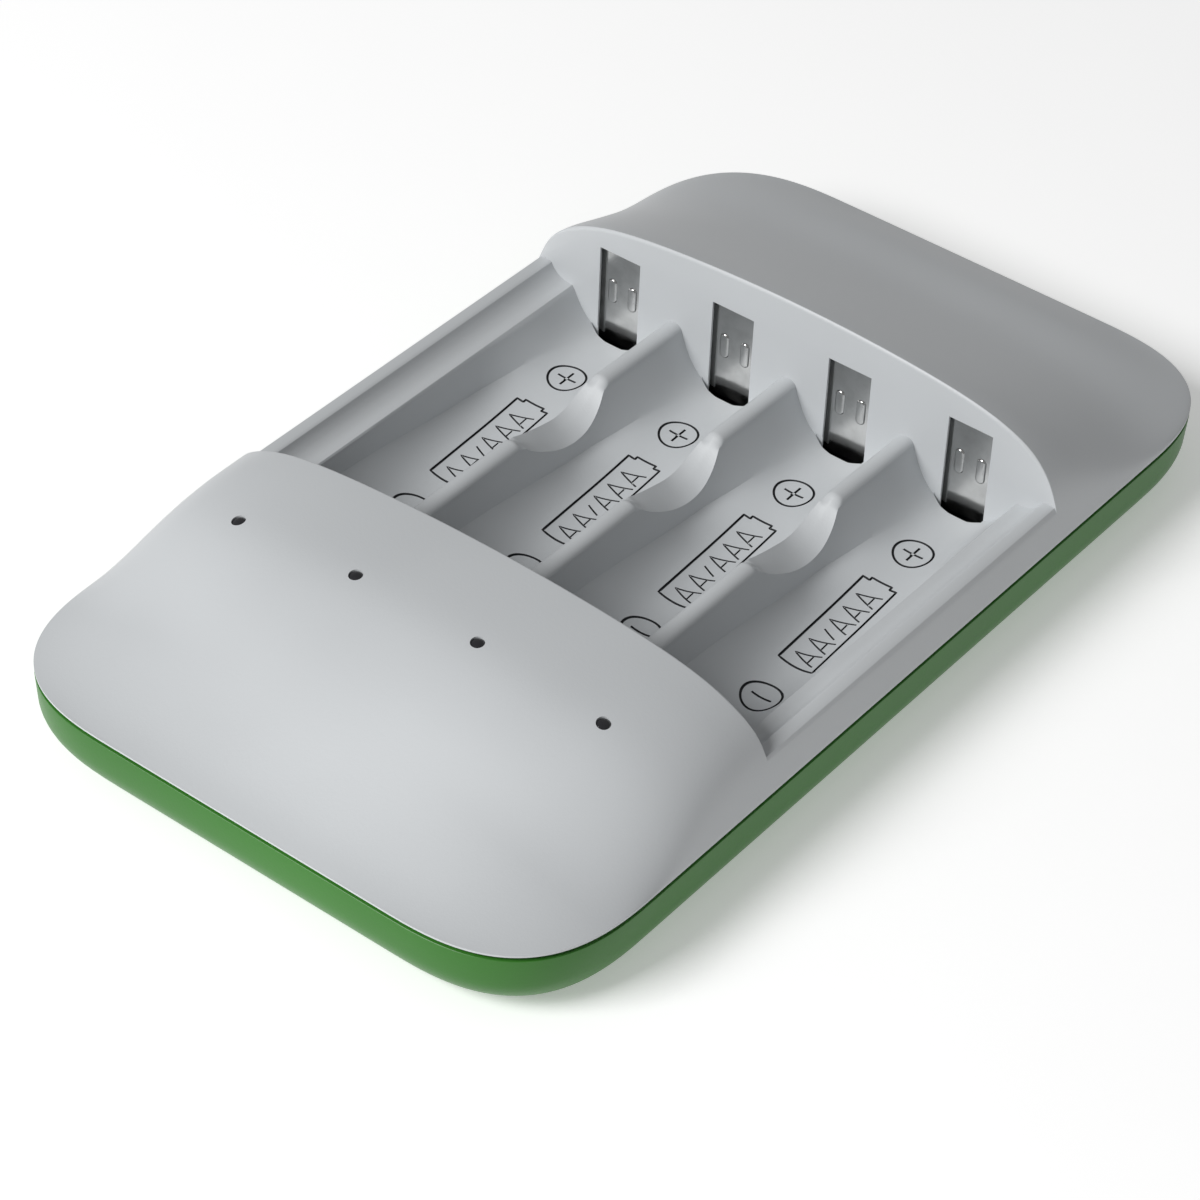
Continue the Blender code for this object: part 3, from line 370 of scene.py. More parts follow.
def disc(x, y, radius, sides=40):
    """A circle's (x, y) points round a middle."""
    a = np.arange(sides) * 2 * math.pi / sides
    return np.stack([x + radius * np.cos(a), y + radius * np.sin(a)], axis=1)


def turned(name, x, y, rows, sides=40, smooth=32.0):
    """A turned piece: discs of radius r at height z, for each (r, z)."""
    rings = np.stack([np.column_stack([disc(x, y, r, sides), np.full(sides, z)]) for r, z in rows])
    return loft(name, rings, smooth)


def slab(x0, x1, y0, y1):
    """A rectangle's four corners."""
    return np.array([(x0, y0), (x1, y0), (x1, y1), (x0, y1)], dtype=float)


def rounded(x, y, width, height, radius, steps=6):
    """A rounded rectangle round (x, y)."""
    a = np.linspace(0, math.pi / 2, steps + 1)
    corners = []
    for k, (sx, sy) in enumerate(((1, 1), (-1, 1), (-1, -1), (1, -1))):
        turn = a + k * math.pi / 2
        corners.append(np.stack([x + sx * (width / 2 - radius) + radius * np.cos(turn),
                                 y + sy * (height / 2 - radius) + radius * np.sin(turn)], axis=1))
    return np.concatenate(corners)


def carve(obj, tool, operation="DIFFERENCE"):
    """Joins or cuts one closed solid with another and keeps only the result."""
    mod = obj.modifiers.new("carve", "BOOLEAN")
    mod.operation = operation
    mod.solver = "MANIFOLD"
    mod.object = tool
    bpy.context.view_layer.update()
    result = bpy.data.meshes.new_from_object(obj.evaluated_get(bpy.context.evaluated_depsgraph_get()))
    obj.modifiers.clear()
    old = obj.data
    obj.data = result
    bpy.data.meshes.remove(old)
    bpy.data.objects.remove(tool)


def merged(name, tools):
    """Several separate closed solids as one object."""
    verts, faces, start = [], [], 0
    for tool in tools:
        count = len(tool.data.vertices)
        flat = np.empty(count * 3)
        tool.data.vertices.foreach_get("co", flat)
        verts.append(flat.reshape(-1, 3))
        faces += [[v + start for v in p.vertices] for p in tool.data.polygons]
        start += count
        bpy.data.objects.remove(tool)
    mesh = bpy.data.meshes.new(name)
    mesh.from_pydata(np.concatenate(verts).tolist(), [], faces)
    return added(name, mesh)


# ---------------------------------------------------------------- the top moulding


def spread_y(y0, y1, count):
    """Places along Y, packed towards the ends of the outline, where its corners turn fastest."""
    flat = LONG / 2 - CORNER
    t = np.linspace(y0, y1, count)
    share = np.clip((np.abs(t) - flat) / CORNER, 0, 1)
    return np.where(np.abs(t) > flat, np.sign(t) * (flat + CORNER * np.sin(share * math.pi / 2)), t)


def top_blank():
    """The outside of the top moulding: sections across the outline, each a skin line and a short edge."""
    u = np.sin(np.linspace(-math.pi / 2, math.pi / 2, 121))
    over_bays = [-14.0, 0.0, 14.0]
    y = np.concatenate([spread_y(-LONG / 2, HOOD_EDGE, 110), over_bays, spread_y(WALL, LONG / 2, 110)])
    x = u[None, :] * half_width(y)[:, None]
    z = skin(x, np.where(y < 0, np.minimum(y, HOOD_EDGE), np.maximum(y, WALL))[:, None] + 0 * x)
    top = np.stack([x, y[:, None] + 0 * x, z], axis=-1)
    low = np.stack([top[:, -1], top[:, 0]], axis=1)
    low[:, :, 2] = -EDGE_SHOWN
    return loft("top_blank", np.concatenate([top, low], axis=1))


def bay_cutter():
    """All that is open between hood and wall: bay floors, ledges and rims below, flat above."""
    near, far = SCOOP_LOW[0][0] - 1.0, SCOOP_LOW[-1][0] + 1.0
    y = np.concatenate([np.linspace(HOOD_EDGE, near, 24)[:-1], np.linspace(near, far, 70),
                        np.linspace(far, WALL, 24)[1:]])
    x, z = trough(y, 3)
    rim = rim_line(40)[1:]
    rows = len(y)
    right = np.broadcast_to(rim, (rows,) + rim.shape)
    left = right[:, ::-1] * (-1, 1)
    flat = np.concatenate([left, np.stack([x, z], axis=-1), right], axis=1)
    lid = np.broadcast_to(np.array([(rim[-1, 0], ABOVE_ALL), (-rim[-1, 0], ABOVE_ALL)]), (rows, 2, 2))
    flat = np.concatenate([flat, lid], axis=1)
    rings = np.stack([flat[..., 0], np.broadcast_to(y[:, None], flat.shape[:2]), flat[..., 1]], axis=-1)
    return loft("bay_cutter", rings)


def mouth_cutter():
    """The bays' run under the hood, roofed by the hood's inner face."""
    y = np.array([BAY_END, HOOD_EDGE + 0.2])
    x, z = trough(y, 3)
    roof = skin(x, np.minimum(y, HOOD_EDGE)[:, None] + 0 * x) - SKIN
    flat_x = np.concatenate([x, x[:, ::-4]], axis=1)
    flat_z = np.concatenate([z, roof[:, ::-4]], axis=1)
    return loft("mouth_cutter", np.stack([flat_x, y[:, None] + 0 * flat_x, flat_z], axis=-1))


def under_cutter():
    """The space below the bays, one floor thickness under them."""
    limit = WIDE / 2 - SHELL_WALL - GAP - TONGUE_THICK
    grid = np.linspace(-limit, limit, 121)
    rim = rim_line(30)[1:]
    rows = []
    for y in np.linspace(BAY_END, WALL + SKIN, 16):
        x, z = trough(np.array([min(y, WALL)]), 2)
        line_x = np.concatenate([-rim[::-1, 0], x[0], rim[:, 0]])
        line_z = np.concatenate([rim[::-1, 1], z[0], rim[:, 1]])
        under = sink(grid, np.interp(grid, line_x, line_z), FLOOR_THICK)
        ring = np.column_stack([grid, np.full(len(grid), y), under])
        rows.append(np.concatenate([ring, [(limit, y, BELOW_ALL), (-limit, y, BELOW_ALL)]]))
    return loft("under_cutter", rows)


def hollow_cutter(y0, y1):
    """The hollow under the hood or the deck, one skin thickness below it."""
    inset = SHELL_WALL + GAP + TONGUE_THICK
    limit = LONG / 2 - inset - 0.2
    u = np.sin(np.linspace(-math.pi / 2, math.pi / 2, 25))
    rows = []
    for y in np.clip(spread_y(y0, y1, 16), -limit, limit):
        x = u * half_width(y, inset)
        full = np.linspace(-half_width(y), half_width(y), 121)
        near = [np.interp(x, full, sink(full, skin(full, a + 0 * full), SKIN))
                for a in (y - 0.8, y, y + 0.8)]
        ring = np.column_stack([x, np.full(len(x), y), np.min(near, axis=0)])
        rows.append(np.concatenate([ring, [(x[-1], y, BELOW_ALL), (x[0], y, BELOW_ALL)]]))
    return loft("hollow_cutter", rows)


def edge_round(y, inward, radius):
    """A cutter that rounds the arch edge at y: a sliver outside a quarter circle, carried along the arch.

    It runs as far as the side rims, where its radius has shrunk to a little.
    """
    across = np.linspace(0.0, half_width(y), 400)
    limit = np.interp(-RIM_TOP - 0.25, -skin(across, y + 0 * across), across)
    x = limit * np.sin(np.linspace(-math.pi / 2, math.pi / 2, 161))
    z = skin(x, y + 0 * x)
    dx, dz = np.gradient(x), np.gradient(z)
    size = np.hypot(dx, dz)
    up_x, up_z = -dz / size, dx / size
    a = np.linspace(0, math.pi / 2, 7)
    r = radius * ease(0.08, 1.0, (limit - np.abs(x)) / 5.0)[:, None]
    outside = np.full((len(x), 1), -0.3)
    along = np.concatenate([r - r * np.sin(a), outside, outside, r], axis=1)
    drop = np.concatenate([r - r * np.cos(a), r, outside, outside], axis=1)
    rings = np.stack([x[:, None] - up_x[:, None] * drop, y + inward * along,
                      z[:, None] - up_z[:, None] * drop], axis=-1)
    return loft("edge_round", rings)


def stroke(bay_x, points, closed=False, width=MARK_WIDE):
    """A groove's cutter: a thin upright strip that follows (across, along) points just under the floor."""
    points = np.asarray(points, dtype=float)
    if closed:
        points = np.concatenate([points, points[:1]])
    steps = np.hypot(*np.diff(points, axis=0).T)
    reach = np.concatenate([[0], np.cumsum(steps)])
    even = np.linspace(0, reach[-1], max(2, int(reach[-1] / STROKE_STEP)))
    t = np.unique(np.concatenate([reach, even]))
    s = np.interp(t, reach, points[:, 0])
    y = np.interp(t, reach, points[:, 1])
    if closed:
        s, y = s[:-1], y[:-1]
        ds, dy = np.roll(s, -1) - np.roll(s, 1), np.roll(y, -1) - np.roll(y, 1)
    else:
        ds, dy = np.gradient(s), np.gradient(y)
    size = np.hypot(ds, dy)
    ns, ny = -dy / size, ds / size
    side = np.array([-0.5, 0.5, 0.5, -0.5]) * width
    edge_s = s[:, None] + ns[:, None] * side
    edge_y = y[:, None] + ny[:, None] * side
    height = bay_floor(edge_s, edge_y) + np.array([-MARK_DEEP, -MARK_DEEP, 0.5, 0.5])
    rings = np.stack([bay_x + edge_s, edge_y, height], axis=-1)
    if not closed:
        return loft("stroke", rings)
    n = len(rings)
    i, j = np.meshgrid(np.arange(n), np.arange(4), indexing="ij")
    i2, j2 = (i + 1) % n, (j + 1) % 4
    faces = np.stack([i * 4 + j, i2 * 4 + j, i2 * 4 + j2, i * 4 + j2], axis=-1).reshape(-1, 4)
    return place("stroke", *outward(rings.reshape(-1, 3), faces))


def letter_a(at):
    """The strokes of a capital A read along the bay: apex to the left, feet to the right, one bar."""
    share = (LETTER_BAR - LETTER_APEX) / (LETTER_FOOT - LETTER_APEX) * LETTER_HALF
    legs = [(LETTER_FOOT, at - LETTER_HALF), (LETTER_APEX, at), (LETTER_FOOT, at + LETTER_HALF)]
    return [legs, [(LETTER_BAR, at - share + 0.1), (LETTER_BAR, at + share - 0.1)]]


def marks():
    """Plus in a ring, cell outline with cell sizes, minus in a ring, in each bay floor."""
    tools = []
    nub = CELL_HALF * NUB_SHARE
    far = CELL_FAR
    cell = [(-CELL_HALF, CELL_NEAR), (CELL_HALF, CELL_NEAR), (CELL_HALF, far), (nub, far),
            (nub, far + CELL_NUB), (-nub, far + CELL_NUB), (-nub, far), (-CELL_HALF, far)]
    for x in BAY_X:
        for at in (PLUS_AT, MINUS_AT):
            tools.append(stroke(x, disc(0.0, at, RING_R, 48), closed=True))
            tools.append(stroke(x, [(-SIGN_HALF, at), (SIGN_HALF, at)]))
            if at == PLUS_AT:
                tools.append(stroke(x, [(0, at - SIGN_HALF), (0, at + SIGN_HALF)]))
        tools.append(stroke(x, cell, closed=True))
        for at in LETTERS_AT:
            tools += [stroke(x, line, width=LETTER_WIDE) for line in letter_a(at)]
        tools.append(stroke(x, SLASH, width=LETTER_WIDE))
    return merged("marks", tools)


def wall_slot(x):
    """Slot in the far wall with a slightly wider notch in the floor, and the plate's pocket behind."""
    half = SLOT_WIDE / 2
    wide = PLATE_WIDE / 2 + GAP
    notch = ((-half - NOTCH_SPARE, -0.02), (-half + 0.6, -0.72), (-1.1, -NOTCH_DEEP), (1.5, -NOTCH_DEEP),
             (half, -0.4), (half, 0.1), (-half - NOTCH_SPARE, 0.1))
    plans = (("notch", [(x + a, WALL + b) for a, b in notch], NOTCH_TOP),
             ("slot", slab(x - half, x + half, WALL - 0.5, WALL + SLOT_LIP + 0.1), SLOT_TOP),
             ("pocket", slab(x - wide, x + wide, WALL + SLOT_LIP, WALL + 2 * SKIN), PLATE_TOP + GAP))
    return [prism(name, plan, BELOW_ALL, top) for name, plan, top in plans]


def screw_places():
    """The four screws' (x, y), the same way round as their numbers."""
    return [(sx * SCREW_X, sy * SCREW_Y) for sx in (-1, 1) for sy in (-1, 1)]


def screw_tip():
    """The height of a screw's point."""
    return SCREW_SEAT - GAP / 2 + SCREW_LONG - HEAD_H


def foot_place(x, y):
    """The middle of the foot beside the screw at (x, y)."""
    return math.copysign(FOOT_X, x), math.copysign(FOOT_Y, y)


def inlet_middle():
    """The height of the power inlet's middle above its board."""
    return POWER_BOARD + BOARD + SOLDER + INLET[2] / 2


def top_moulding():
    """The whole top moulding: blank, tongue and bay block joined, then hollowed and cut."""
    body = top_blank()
    inset = SHELL_WALL + GAP
    carve(body, prism("tongue", outline(inset), -EDGE_DROP - TONGUE_DEPTH, 0.2), "UNION")
    block = slab(-LEDGE_X - SKIN, LEDGE_X + SKIN, BAY_END - FLOOR_THICK, WALL + SKIN)
    lowest = FLOOR_CENTRE[0][1] - FLOOR_THICK
    carve(body, prism("block", block, lowest, -EDGE_DROP - TONGUE_DEPTH + 0.2), "UNION")
    front = -LONG / 2 + inset + TONGUE_THICK + 0.2
    carve(body, hollow_cutter(front, BAY_END - FLOOR_THICK))
    carve(body, hollow_cutter(WALL + SKIN, -front))
    carve(body, under_cutter())
    for x, y in screw_places():
        top = float(skin(np.array(abs(x) + BOSS_R), np.array(y))) - SKIN / 2
        carve(body, prism("boss", disc(x, y, BOSS_R, 32), BOSS_SPLIT + GAP, top), "UNION")
        pilot = disc(x, y, SHANK_R + GAP / 2, 24)
        carve(body, prism("pilot", pilot, BOSS_SPLIT - GAP, screw_tip() + GAP))
    carve(body, bay_cutter())
    carve(body, mouth_cutter())
    for x in BAY_X:
        for tool in wall_slot(x):
            carve(body, tool)
        hole = [(PIPE_R + PIPE_RING, LED_BOARD + BOARD), (PIPE_R + PIPE_RING, HOOD_CROWN[-1][1] + 1.5)]
        carve(body, turned("pipe_hole", x, LED_ROW, hole, 32))
        half = SLIDER_WIDE / 2 + GAP
        run = slab(x - half, x + half, BAY_END - FLOOR_THICK - SKIN, TOE + SLIDER_THICK + GAP)
        carve(body, prism("run", run, SLIDER_LOW - GAP, SLIDER_LOW + SLIDER_THICK + GAP))
    half = INLET[0] / 2 + GAP
    tongue_in = LONG / 2 - inset - TONGUE_THICK
    notch = slab(-half, half, tongue_in - SKIN, LONG / 2 - SHELL_WALL)
    carve(body, prism("inlet_notch", notch, -SHELL_DEPTH, inlet_middle() + INLET[2] / 2 + GAP))
    carve(body, edge_round(HOOD_EDGE, -1, 0.35))
    carve(body, edge_round(WALL, 1, 0.55))
    carve(body, marks())
    body.name = "housing_top"
    finish_edges(body, 28.0)
    return body


# ---------------------------------------------------------------- the other pieces


def tray():
    """The lower shell: outline rings from the rim down a drafted side, round the bottom and back inside."""
    rim = -EDGE_DROP - PARTING_GAP
    bend = -SHELL_DEPTH + SHELL_ROUND
    a = np.linspace(0, math.pi / 2, 15)
    draft = SHELL_DRAFT * (rim - bend)
    lip = np.linspace(0, math.pi / 2, 4)
    outer = [(SHELL_LIP * (1 - math.sin(t)), rim - SHELL_LIP * (1 - math.cos(t))) for t in lip]
    outer += [(draft + SHELL_ROUND * (1 - math.cos(t)), bend - SHELL_ROUND * math.sin(t)) for t in a]
    inner_round = SHELL_ROUND - SHELL_WALL
    inner = [(SHELL_WALL, rim)]
    inner += [(draft + SHELL_WALL + inner_round * (1 - math.cos(t)), bend - inner_round * math.sin(t))
              for t in a[::2]]
    body = loft("shell_tray", [levels(outline(d), [z])[0] for d, z in outer[::-1] + inner])
    floor = -SHELL_DEPTH + SHELL_WALL
    head, shank = HEAD_R + GAP, SHANK_R + GAP
    screw_hole = ((head + HOLE_FLARE, BELOW_ALL), (head + HOLE_FLARE, -SHELL_DEPTH - 0.1),
                  (head, -SHELL_DEPTH + 0.2), (head, SCREW_SEAT),
                  (shank, SCREW_SEAT), (shank, BOSS_SPLIT + 2.0))
    for x, y in screw_places():
        post = disc(x, y, BOSS_R + SHELL_WALL / 2)
        carve(body, prism("post", post, floor - 0.2, BOSS_SPLIT), "UNION")
        carve(body, turned("screw_hole", x, y, screw_hole))
        recess = disc(*foot_place(x, y), FOOT_R + GAP)
        carve(body, prism("foot_recess", recess, BELOW_ALL, -SHELL_DEPTH + FOOT_RECESS))
    for places, top in ((LED_POSTS, LED_BOARD), (POWER_POSTS, POWER_BOARD)):
        for x, y in places:
            carve(body, prism("post", disc(x, y, POST_R, 20), floor - 0.2, top - SOLDER), "UNION")
    hole = rounded(0.0, inlet_middle(), INLET[0] + 2 * GAP, INLET[2] + 2 * GAP, INLET[2] / 2, 10)
    flare = rounded(0.0, inlet_middle(), INLET[0] + 4 * GAP, INLET[2] + 4 * GAP, INLET[2] / 2 + GAP, 10)
    rows = ((hole, LONG / 2 - SHELL_WALL - 2 * SKIN), (hole, LONG / 2 - 0.5),
            (flare, LONG / 2 + 0.1), (flare, LONG / 2 + 2))
    carve(body, loft("inlet_hole", [upright(ring, y) for ring, y in rows]))
    finish_edges(body, 28.0)
    return body


def strip_profile(path, thick, bend, steps=10):
    """A (y, z) band of even thickness along a path of straight runs whose corners have a bend radius."""
    path = np.asarray(path, dtype=float)
    line = [path[0]]
    for before, corner, after in zip(path[:-2], path[1:-1], path[2:]):
        d0 = (before - corner) / np.linalg.norm(before - corner)
        d1 = (after - corner) / np.linalg.norm(after - corner)
        half = math.acos(float(np.clip(d0 @ d1, -1, 1))) / 2
        reach = bend / math.tan(half)
        middle = corner + (d0 + d1) / np.linalg.norm(d0 + d1) * bend / math.sin(half)
        start, end = corner + d0 * reach - middle, corner + d1 * reach - middle
        a0, a1 = math.atan2(start[1], start[0]), math.atan2(end[1], end[0])
        turn = (a1 - a0 + math.pi) % (2 * math.pi) - math.pi
        a = a0 + turn * np.linspace(0, 1, steps)
        line += list(middle + bend * np.stack([np.cos(a), np.sin(a)], axis=1))
    line.append(path[-1])
    line = np.array(line)
    way = np.gradient(line, axis=0)
    way /= np.linalg.norm(way, axis=1)[:, None]
    normal = np.stack([-way[:, 1], way[:, 0]], axis=1) * thick / 2
    return np.concatenate([line + normal, (line - normal)[::-1]])


def band(name, profile, x0, x1, ease_by=0.06):
    """A (y, z) band drawn out along X, its two side faces drawn in a little so their edges catch light."""
    profile = np.asarray(profile)
    centre = profile.mean(axis=0)
    way = np.roll(profile, -1, axis=0) - np.roll(profile, 1, axis=0)
    normal = np.stack([way[:, 1], -way[:, 0]], axis=1)
    normal /= np.linalg.norm(normal, axis=1)[:, None] + 1e-9
    area = np.sum(profile[:, 0] * np.roll(profile[:, 1], -1) - np.roll(profile[:, 0], -1) * profile[:, 1])
    small = profile - normal * ease_by * math.copysign(1, area)
    rows = ((x0, small), (x0 + ease_by, profile), (x1 - ease_by, profile), (x1, small))
    return loft(name, [np.column_stack([np.full(len(p), x), p]) for x, p in rows], 50.0)


def contact_plate(number, x):
    """The plate behind the wall's slot, with two pressed ribs, its lower end swept back to the board."""
    front = WALL + SLOT_LIP + PLATE_BACK
    middle = front + PLATE_THICK / 2
    foot = POWER_BOARD + BOARD + SOLDER + PLATE_THICK / 2
    profile = strip_profile([(middle, PLATE_TOP), (middle, foot), (PLATE_FOOT, foot)], PLATE_THICK,
                            PLATE_BEND + PLATE_THICK / 2)
    body = band(f"contact_plate_{number}", profile, x - PLATE_WIDE / 2, x + PLATE_WIDE / 2)
    dome = ((0.15, 0.0), (0.0, 0.0), (-0.6 * RIB_PROUD, 0.07), (-0.9 * RIB_PROUD, 0.16),
            (-RIB_PROUD, 0.28))
    for side in (-RIB_X, RIB_X):
        rows = []
        for depth, shrink in dome:
            wide, tall = RIB_WIDE - 2 * shrink, RIB_HIGH - RIB_LOW - 2 * shrink
            ring = rounded(x + side, (RIB_LOW + RIB_HIGH) / 2, wide, tall, wide * FULL_ROUND, 8)
            rows.append(upright(ring, front + depth))
        carve(body, loft("rib", rows), "UNION")
    finish_edges(body, 40.0)
    return body


def slider(number, x):
    """The negative contact: a strip along the bay floor, an upturned toe and an upturned tail."""
    low, high = SLIDER_LOW, SLIDER_LOW + SLIDER_THICK
    tail = BAY_END - FLOOR_THICK - GAP
    middle = (low + high) / 2
    path = [(TOE - SLIDER_THICK / 2, high + 2 * GAP), (TOE - SLIDER_THICK / 2, middle),
            (tail - SLIDER_THICK / 2, middle), (tail - SLIDER_THICK / 2, high + 2 * GAP)]
    body = band(f"slider_{number}", strip_profile(path, SLIDER_THICK, SLIDER_THICK * 0.6, 6),
                x - SLIDER_WIDE / 2, x + SLIDER_WIDE / 2, 0.04)
    bottom, soft = high + GAP, 0.05
    for y0, wide, top in ((TOE - SLIDER_THICK, TOE_WIDE, TOE_TOP),
                          (tail - SLIDER_THICK, TAIL_WIDE, TAIL_TOP)):
        rows = []
        for y, shrink in ((y0, soft), (y0 + soft, 0.0),
                          (y0 + SLIDER_THICK - soft, 0.0), (y0 + SLIDER_THICK, soft)):
            ring = rounded(x, (bottom + top) / 2, wide - 2 * shrink, top - bottom - 2 * shrink, 0.35, 6)
            rows.append(upright(ring, y))
        carve(body, loft("plate", rows), "UNION")
    finish_edges(body, 40.0)
    return body


def spring(number, x):
    """A coil of round wire along Y; its way along is s - sin(2 pi s) / 10, so its end turns lie closer."""
    wire = COIL_WIRE / 2
    s = np.linspace(0, 1, COIL_TURNS * 28 + 1)
    a = 2 * math.pi * COIL_TURNS * s
    b = np.linspace(0, 2 * math.pi, 11)[:-1]
    along = COIL_START - wire + (COIL_END - COIL_START + COIL_WIRE) * (s - np.sin(2 * math.pi * s) / 10)
    reach = COIL_R - wire + wire * np.cos(b)
    rings = np.stack([x + reach * np.cos(a)[:, None], along[:, None] - wire * np.sin(b),
                      COIL_Z + reach * np.sin(a)[:, None]], axis=-1)
    return loft(f"coil_{number}", rings, 60.0)


def window(number, x):
    """A light pipe: a rod whose end is a low dome just below the hood's surface."""
    base = LED_BOARD + BOARD + SOLDER + LED_TALL + SOLDER
    share = np.sin(np.linspace(math.pi / 2, 0.08, 9))
    rows = [np.column_stack([disc(x, LED_ROW, PIPE_R, 40), np.full(40, base)])]
    for r in share:
        ring = disc(x, LED_ROW, PIPE_R * r, 40)
        z = skin(ring[:, 0], ring[:, 1]) - WINDOW_SINK + WINDOW_DOME * (1 - r * r)
        rows.append(np.column_stack([ring, z]))
    return loft(f"window_{number}", rows)


def screw(number, x, y):
    """A pan-head screw with a cross recess."""
    top = SCREW_SEAT - GAP / 2
    tip = screw_tip()
    low = top - HEAD_H
    rows = [(HEAD_R * 0.72, low), (HEAD_R * 0.9, low + 0.14), (HEAD_R, low + 0.45), (HEAD_R, top),
            (SHANK_R, top)]
    turns = np.arange(top + 0.3, tip - 1.0, THREAD_STEP)
    rows += [(SHANK_R - THREAD_DEEP * (k % 2), z) for k, z in enumerate(turns)]
    rows += [(SHANK_R * 0.8, tip - 0.6), (SHANK_R * 0.25, tip)]
    body = turned(f"screw_{number}", x, y, rows, 36, 40.0)
    arm, half = HEAD_R * 0.58, HEAD_R * 0.13
    for w, h in ((arm, half), (half, arm)):
        rings = [np.column_stack([slab(x - w * s, x + w * s, y - h * s, y + h * s), np.full(4, z)])
                 for s, z in ((1.0, low - 0.2), (1.0, low), (0.7, low + HEAD_H * 0.6))]
        carve(body, loft("recess", rings))
    finish_edges(body, 35.0)
    return body


def foot(number, x, y):
    """A rubber disc stuck in its recess, its lower edge rounded."""
    low = -SHELL_DEPTH - FOOT_STAND
    rows = ((FOOT_R - 0.35, low), (FOOT_R - 0.12, low + 0.08), (FOOT_R, low + 0.3),
            (FOOT_R, -SHELL_DEPTH + FOOT_RECESS - SOLDER))
    return turned(f"foot_{number}", x, y, rows, 64, 40.0)


def socket_shell():
    """The power inlet: a rounded metal sleeve with a rolled mouth and a flat tongue inside."""
    wide, deep, tall = INLET
    mouth = LONG / 2 - INLET_SINK
    z = inlet_middle()

    def ring(shrink, y):
        """The sleeve's ring, drawn in by shrink, at y."""
        return upright(rounded(0.0, z, wide - 2 * shrink, tall - 2 * shrink,
                               (tall - 2 * shrink) * FULL_ROUND, 12), y)

    body = loft("inlet_socket", [ring(0.0, mouth - deep), ring(0.0, mouth - 0.1), ring(0.08, mouth)])
    carve(body, loft("bore", [ring(INLET_WALL, mouth - deep + 0.9), ring(INLET_WALL, mouth - 0.15),
                              ring(INLET_WALL - 0.14, mouth), ring(INLET_WALL - 0.14, mouth + 1)]))
    rows = []
    for y, s in ((mouth - deep + 0.3, 0.0), (mouth - deep + 5.4, 0.0), (mouth - deep + 5.5, 0.1)):
        rows.append(upright(rounded(0.0, z, 6.6 - 2 * s, 0.7 - s, 0.2, 4), y))
    carve(body, loft("tongue", rows), "UNION")
    finish_edges(body, 35.0)
    return body


# ---------------------------------------------------------------- materials


class Value:
    """A shader socket that can be used in sums."""

    def __init__(self, finish, out):
        self.finish, self.out = finish, out

    def math(self, operation, other, flip=False):
        """One sum of this socket and another socket or number, turned round if flip."""
        a, b = (other, self) if flip else (self, other)
        return self.finish.node("ShaderNodeMath", {"operation": operation}, {0: a, 1: b})

    def __add__(self, other):
        return self.math("ADD", other)

    def __radd__(self, other):
        return self.math("ADD", other, True)

    def __sub__(self, other):
        return self.math("SUBTRACT", other)

    def __rsub__(self, other):
        return self.math("SUBTRACT", other, True)

    def __mul__(self, other):
        return self.math("MULTIPLY", other)

    def __rmul__(self, other):
        return self.math("MULTIPLY", other, True)


class Finish:
    """One material: its nodes are made by node(), its shader's steady values are set once."""

    def __init__(self, name, **steady):
        self.material = bpy.data.materials.new(name)
        self.material.use_nodes = True
        self.tree = self.material.node_tree
        self.shader = self.tree.nodes["Principled BSDF"]
        for socket, value in steady.items():
            self.shader.inputs[socket.replace("_", " ")].default_value = value

    def node(self, kind, settings=None, inputs=None, output=0):
        """A node with its settings, its inputs linked or set, as the Value of one of its outputs."""
        made = self.tree.nodes.new(kind)
        for key, value in (settings or {}).items():
            setattr(made, key, value)
        for key, value in (inputs or {}).items():
            if isinstance(value, Value):
                self.tree.links.new(value.out, made.inputs[key])
            else:
                made.inputs[key].default_value = value
        return Value(self, made.outputs[output])

    def feed(self, socket, value):
        """Links a value that varies to the shader."""
        self.tree.links.new(value.out, self.shader.inputs[socket])

    def where(self, stretch=(1.0, 1.0, 1.0)):
        """The place on the piece, stretched along each axis."""
        spot = self.node("ShaderNodeTexCoord", output=3)
        return self.node("ShaderNodeMapping", {}, {0: spot, 3: stretch})

    def noise(self, scale, detail=3.0, stretch=(1.0, 1.0, 1.0), roughness=0.5):
        """Cloudy noise from 0 to 1, with scale counted per metre."""
        return self.node("ShaderNodeTexNoise", {}, {"Vector": self.where(stretch), "Scale": scale,
                                                    "Detail": detail, "Roughness": roughness})

    def ramp(self, value, low, high):
        """0 below low, 1 above high."""
        return self.node("ShaderNodeMapRange", {"clamp": True}, {0: value, 1: low, 2: high})

    def blend(self, factor, a, b):
        """Colour a where factor is 0, b where it is 1."""
        return self.node("ShaderNodeMix", {"data_type": "RGBA"}, {0: factor, 6: a, 7: b}, 2)

    def bump(self, height, distance):
        """Fine relief of that height, its full depth given in metres."""
        self.feed("Normal", self.node("ShaderNodeBump", {}, {"Strength": 1.0, "Distance": distance,
                                                             "Height": height}))


def colour(r, g, b):
    """A colour with full alpha."""
    return (r, g, b, 1.0)


def moulded(name, base, rough, depth=0.000012, tint=0.03, spark=2600.0):
    """Moulded plastic: fine spark-eroded grain, slow drift of tone, slightly uneven gloss."""
    mat = Finish(name, IOR=1.46)
    slow = mat.noise(28.0, 2.0)
    fine = mat.noise(spark, 3.0, roughness=0.6)
    low = colour(*(c * (1 - tint) for c in base))
    high = colour(*(min(1.0, c * (1 + tint)) for c in base))
    mat.feed("Base Color", mat.blend(mat.ramp(slow, 0.35, 0.65), low, high))
    mat.feed("Roughness", rough - 0.04 + 0.05 * slow + 0.05 * fine)
    mat.bump(fine, depth)
    return mat.material


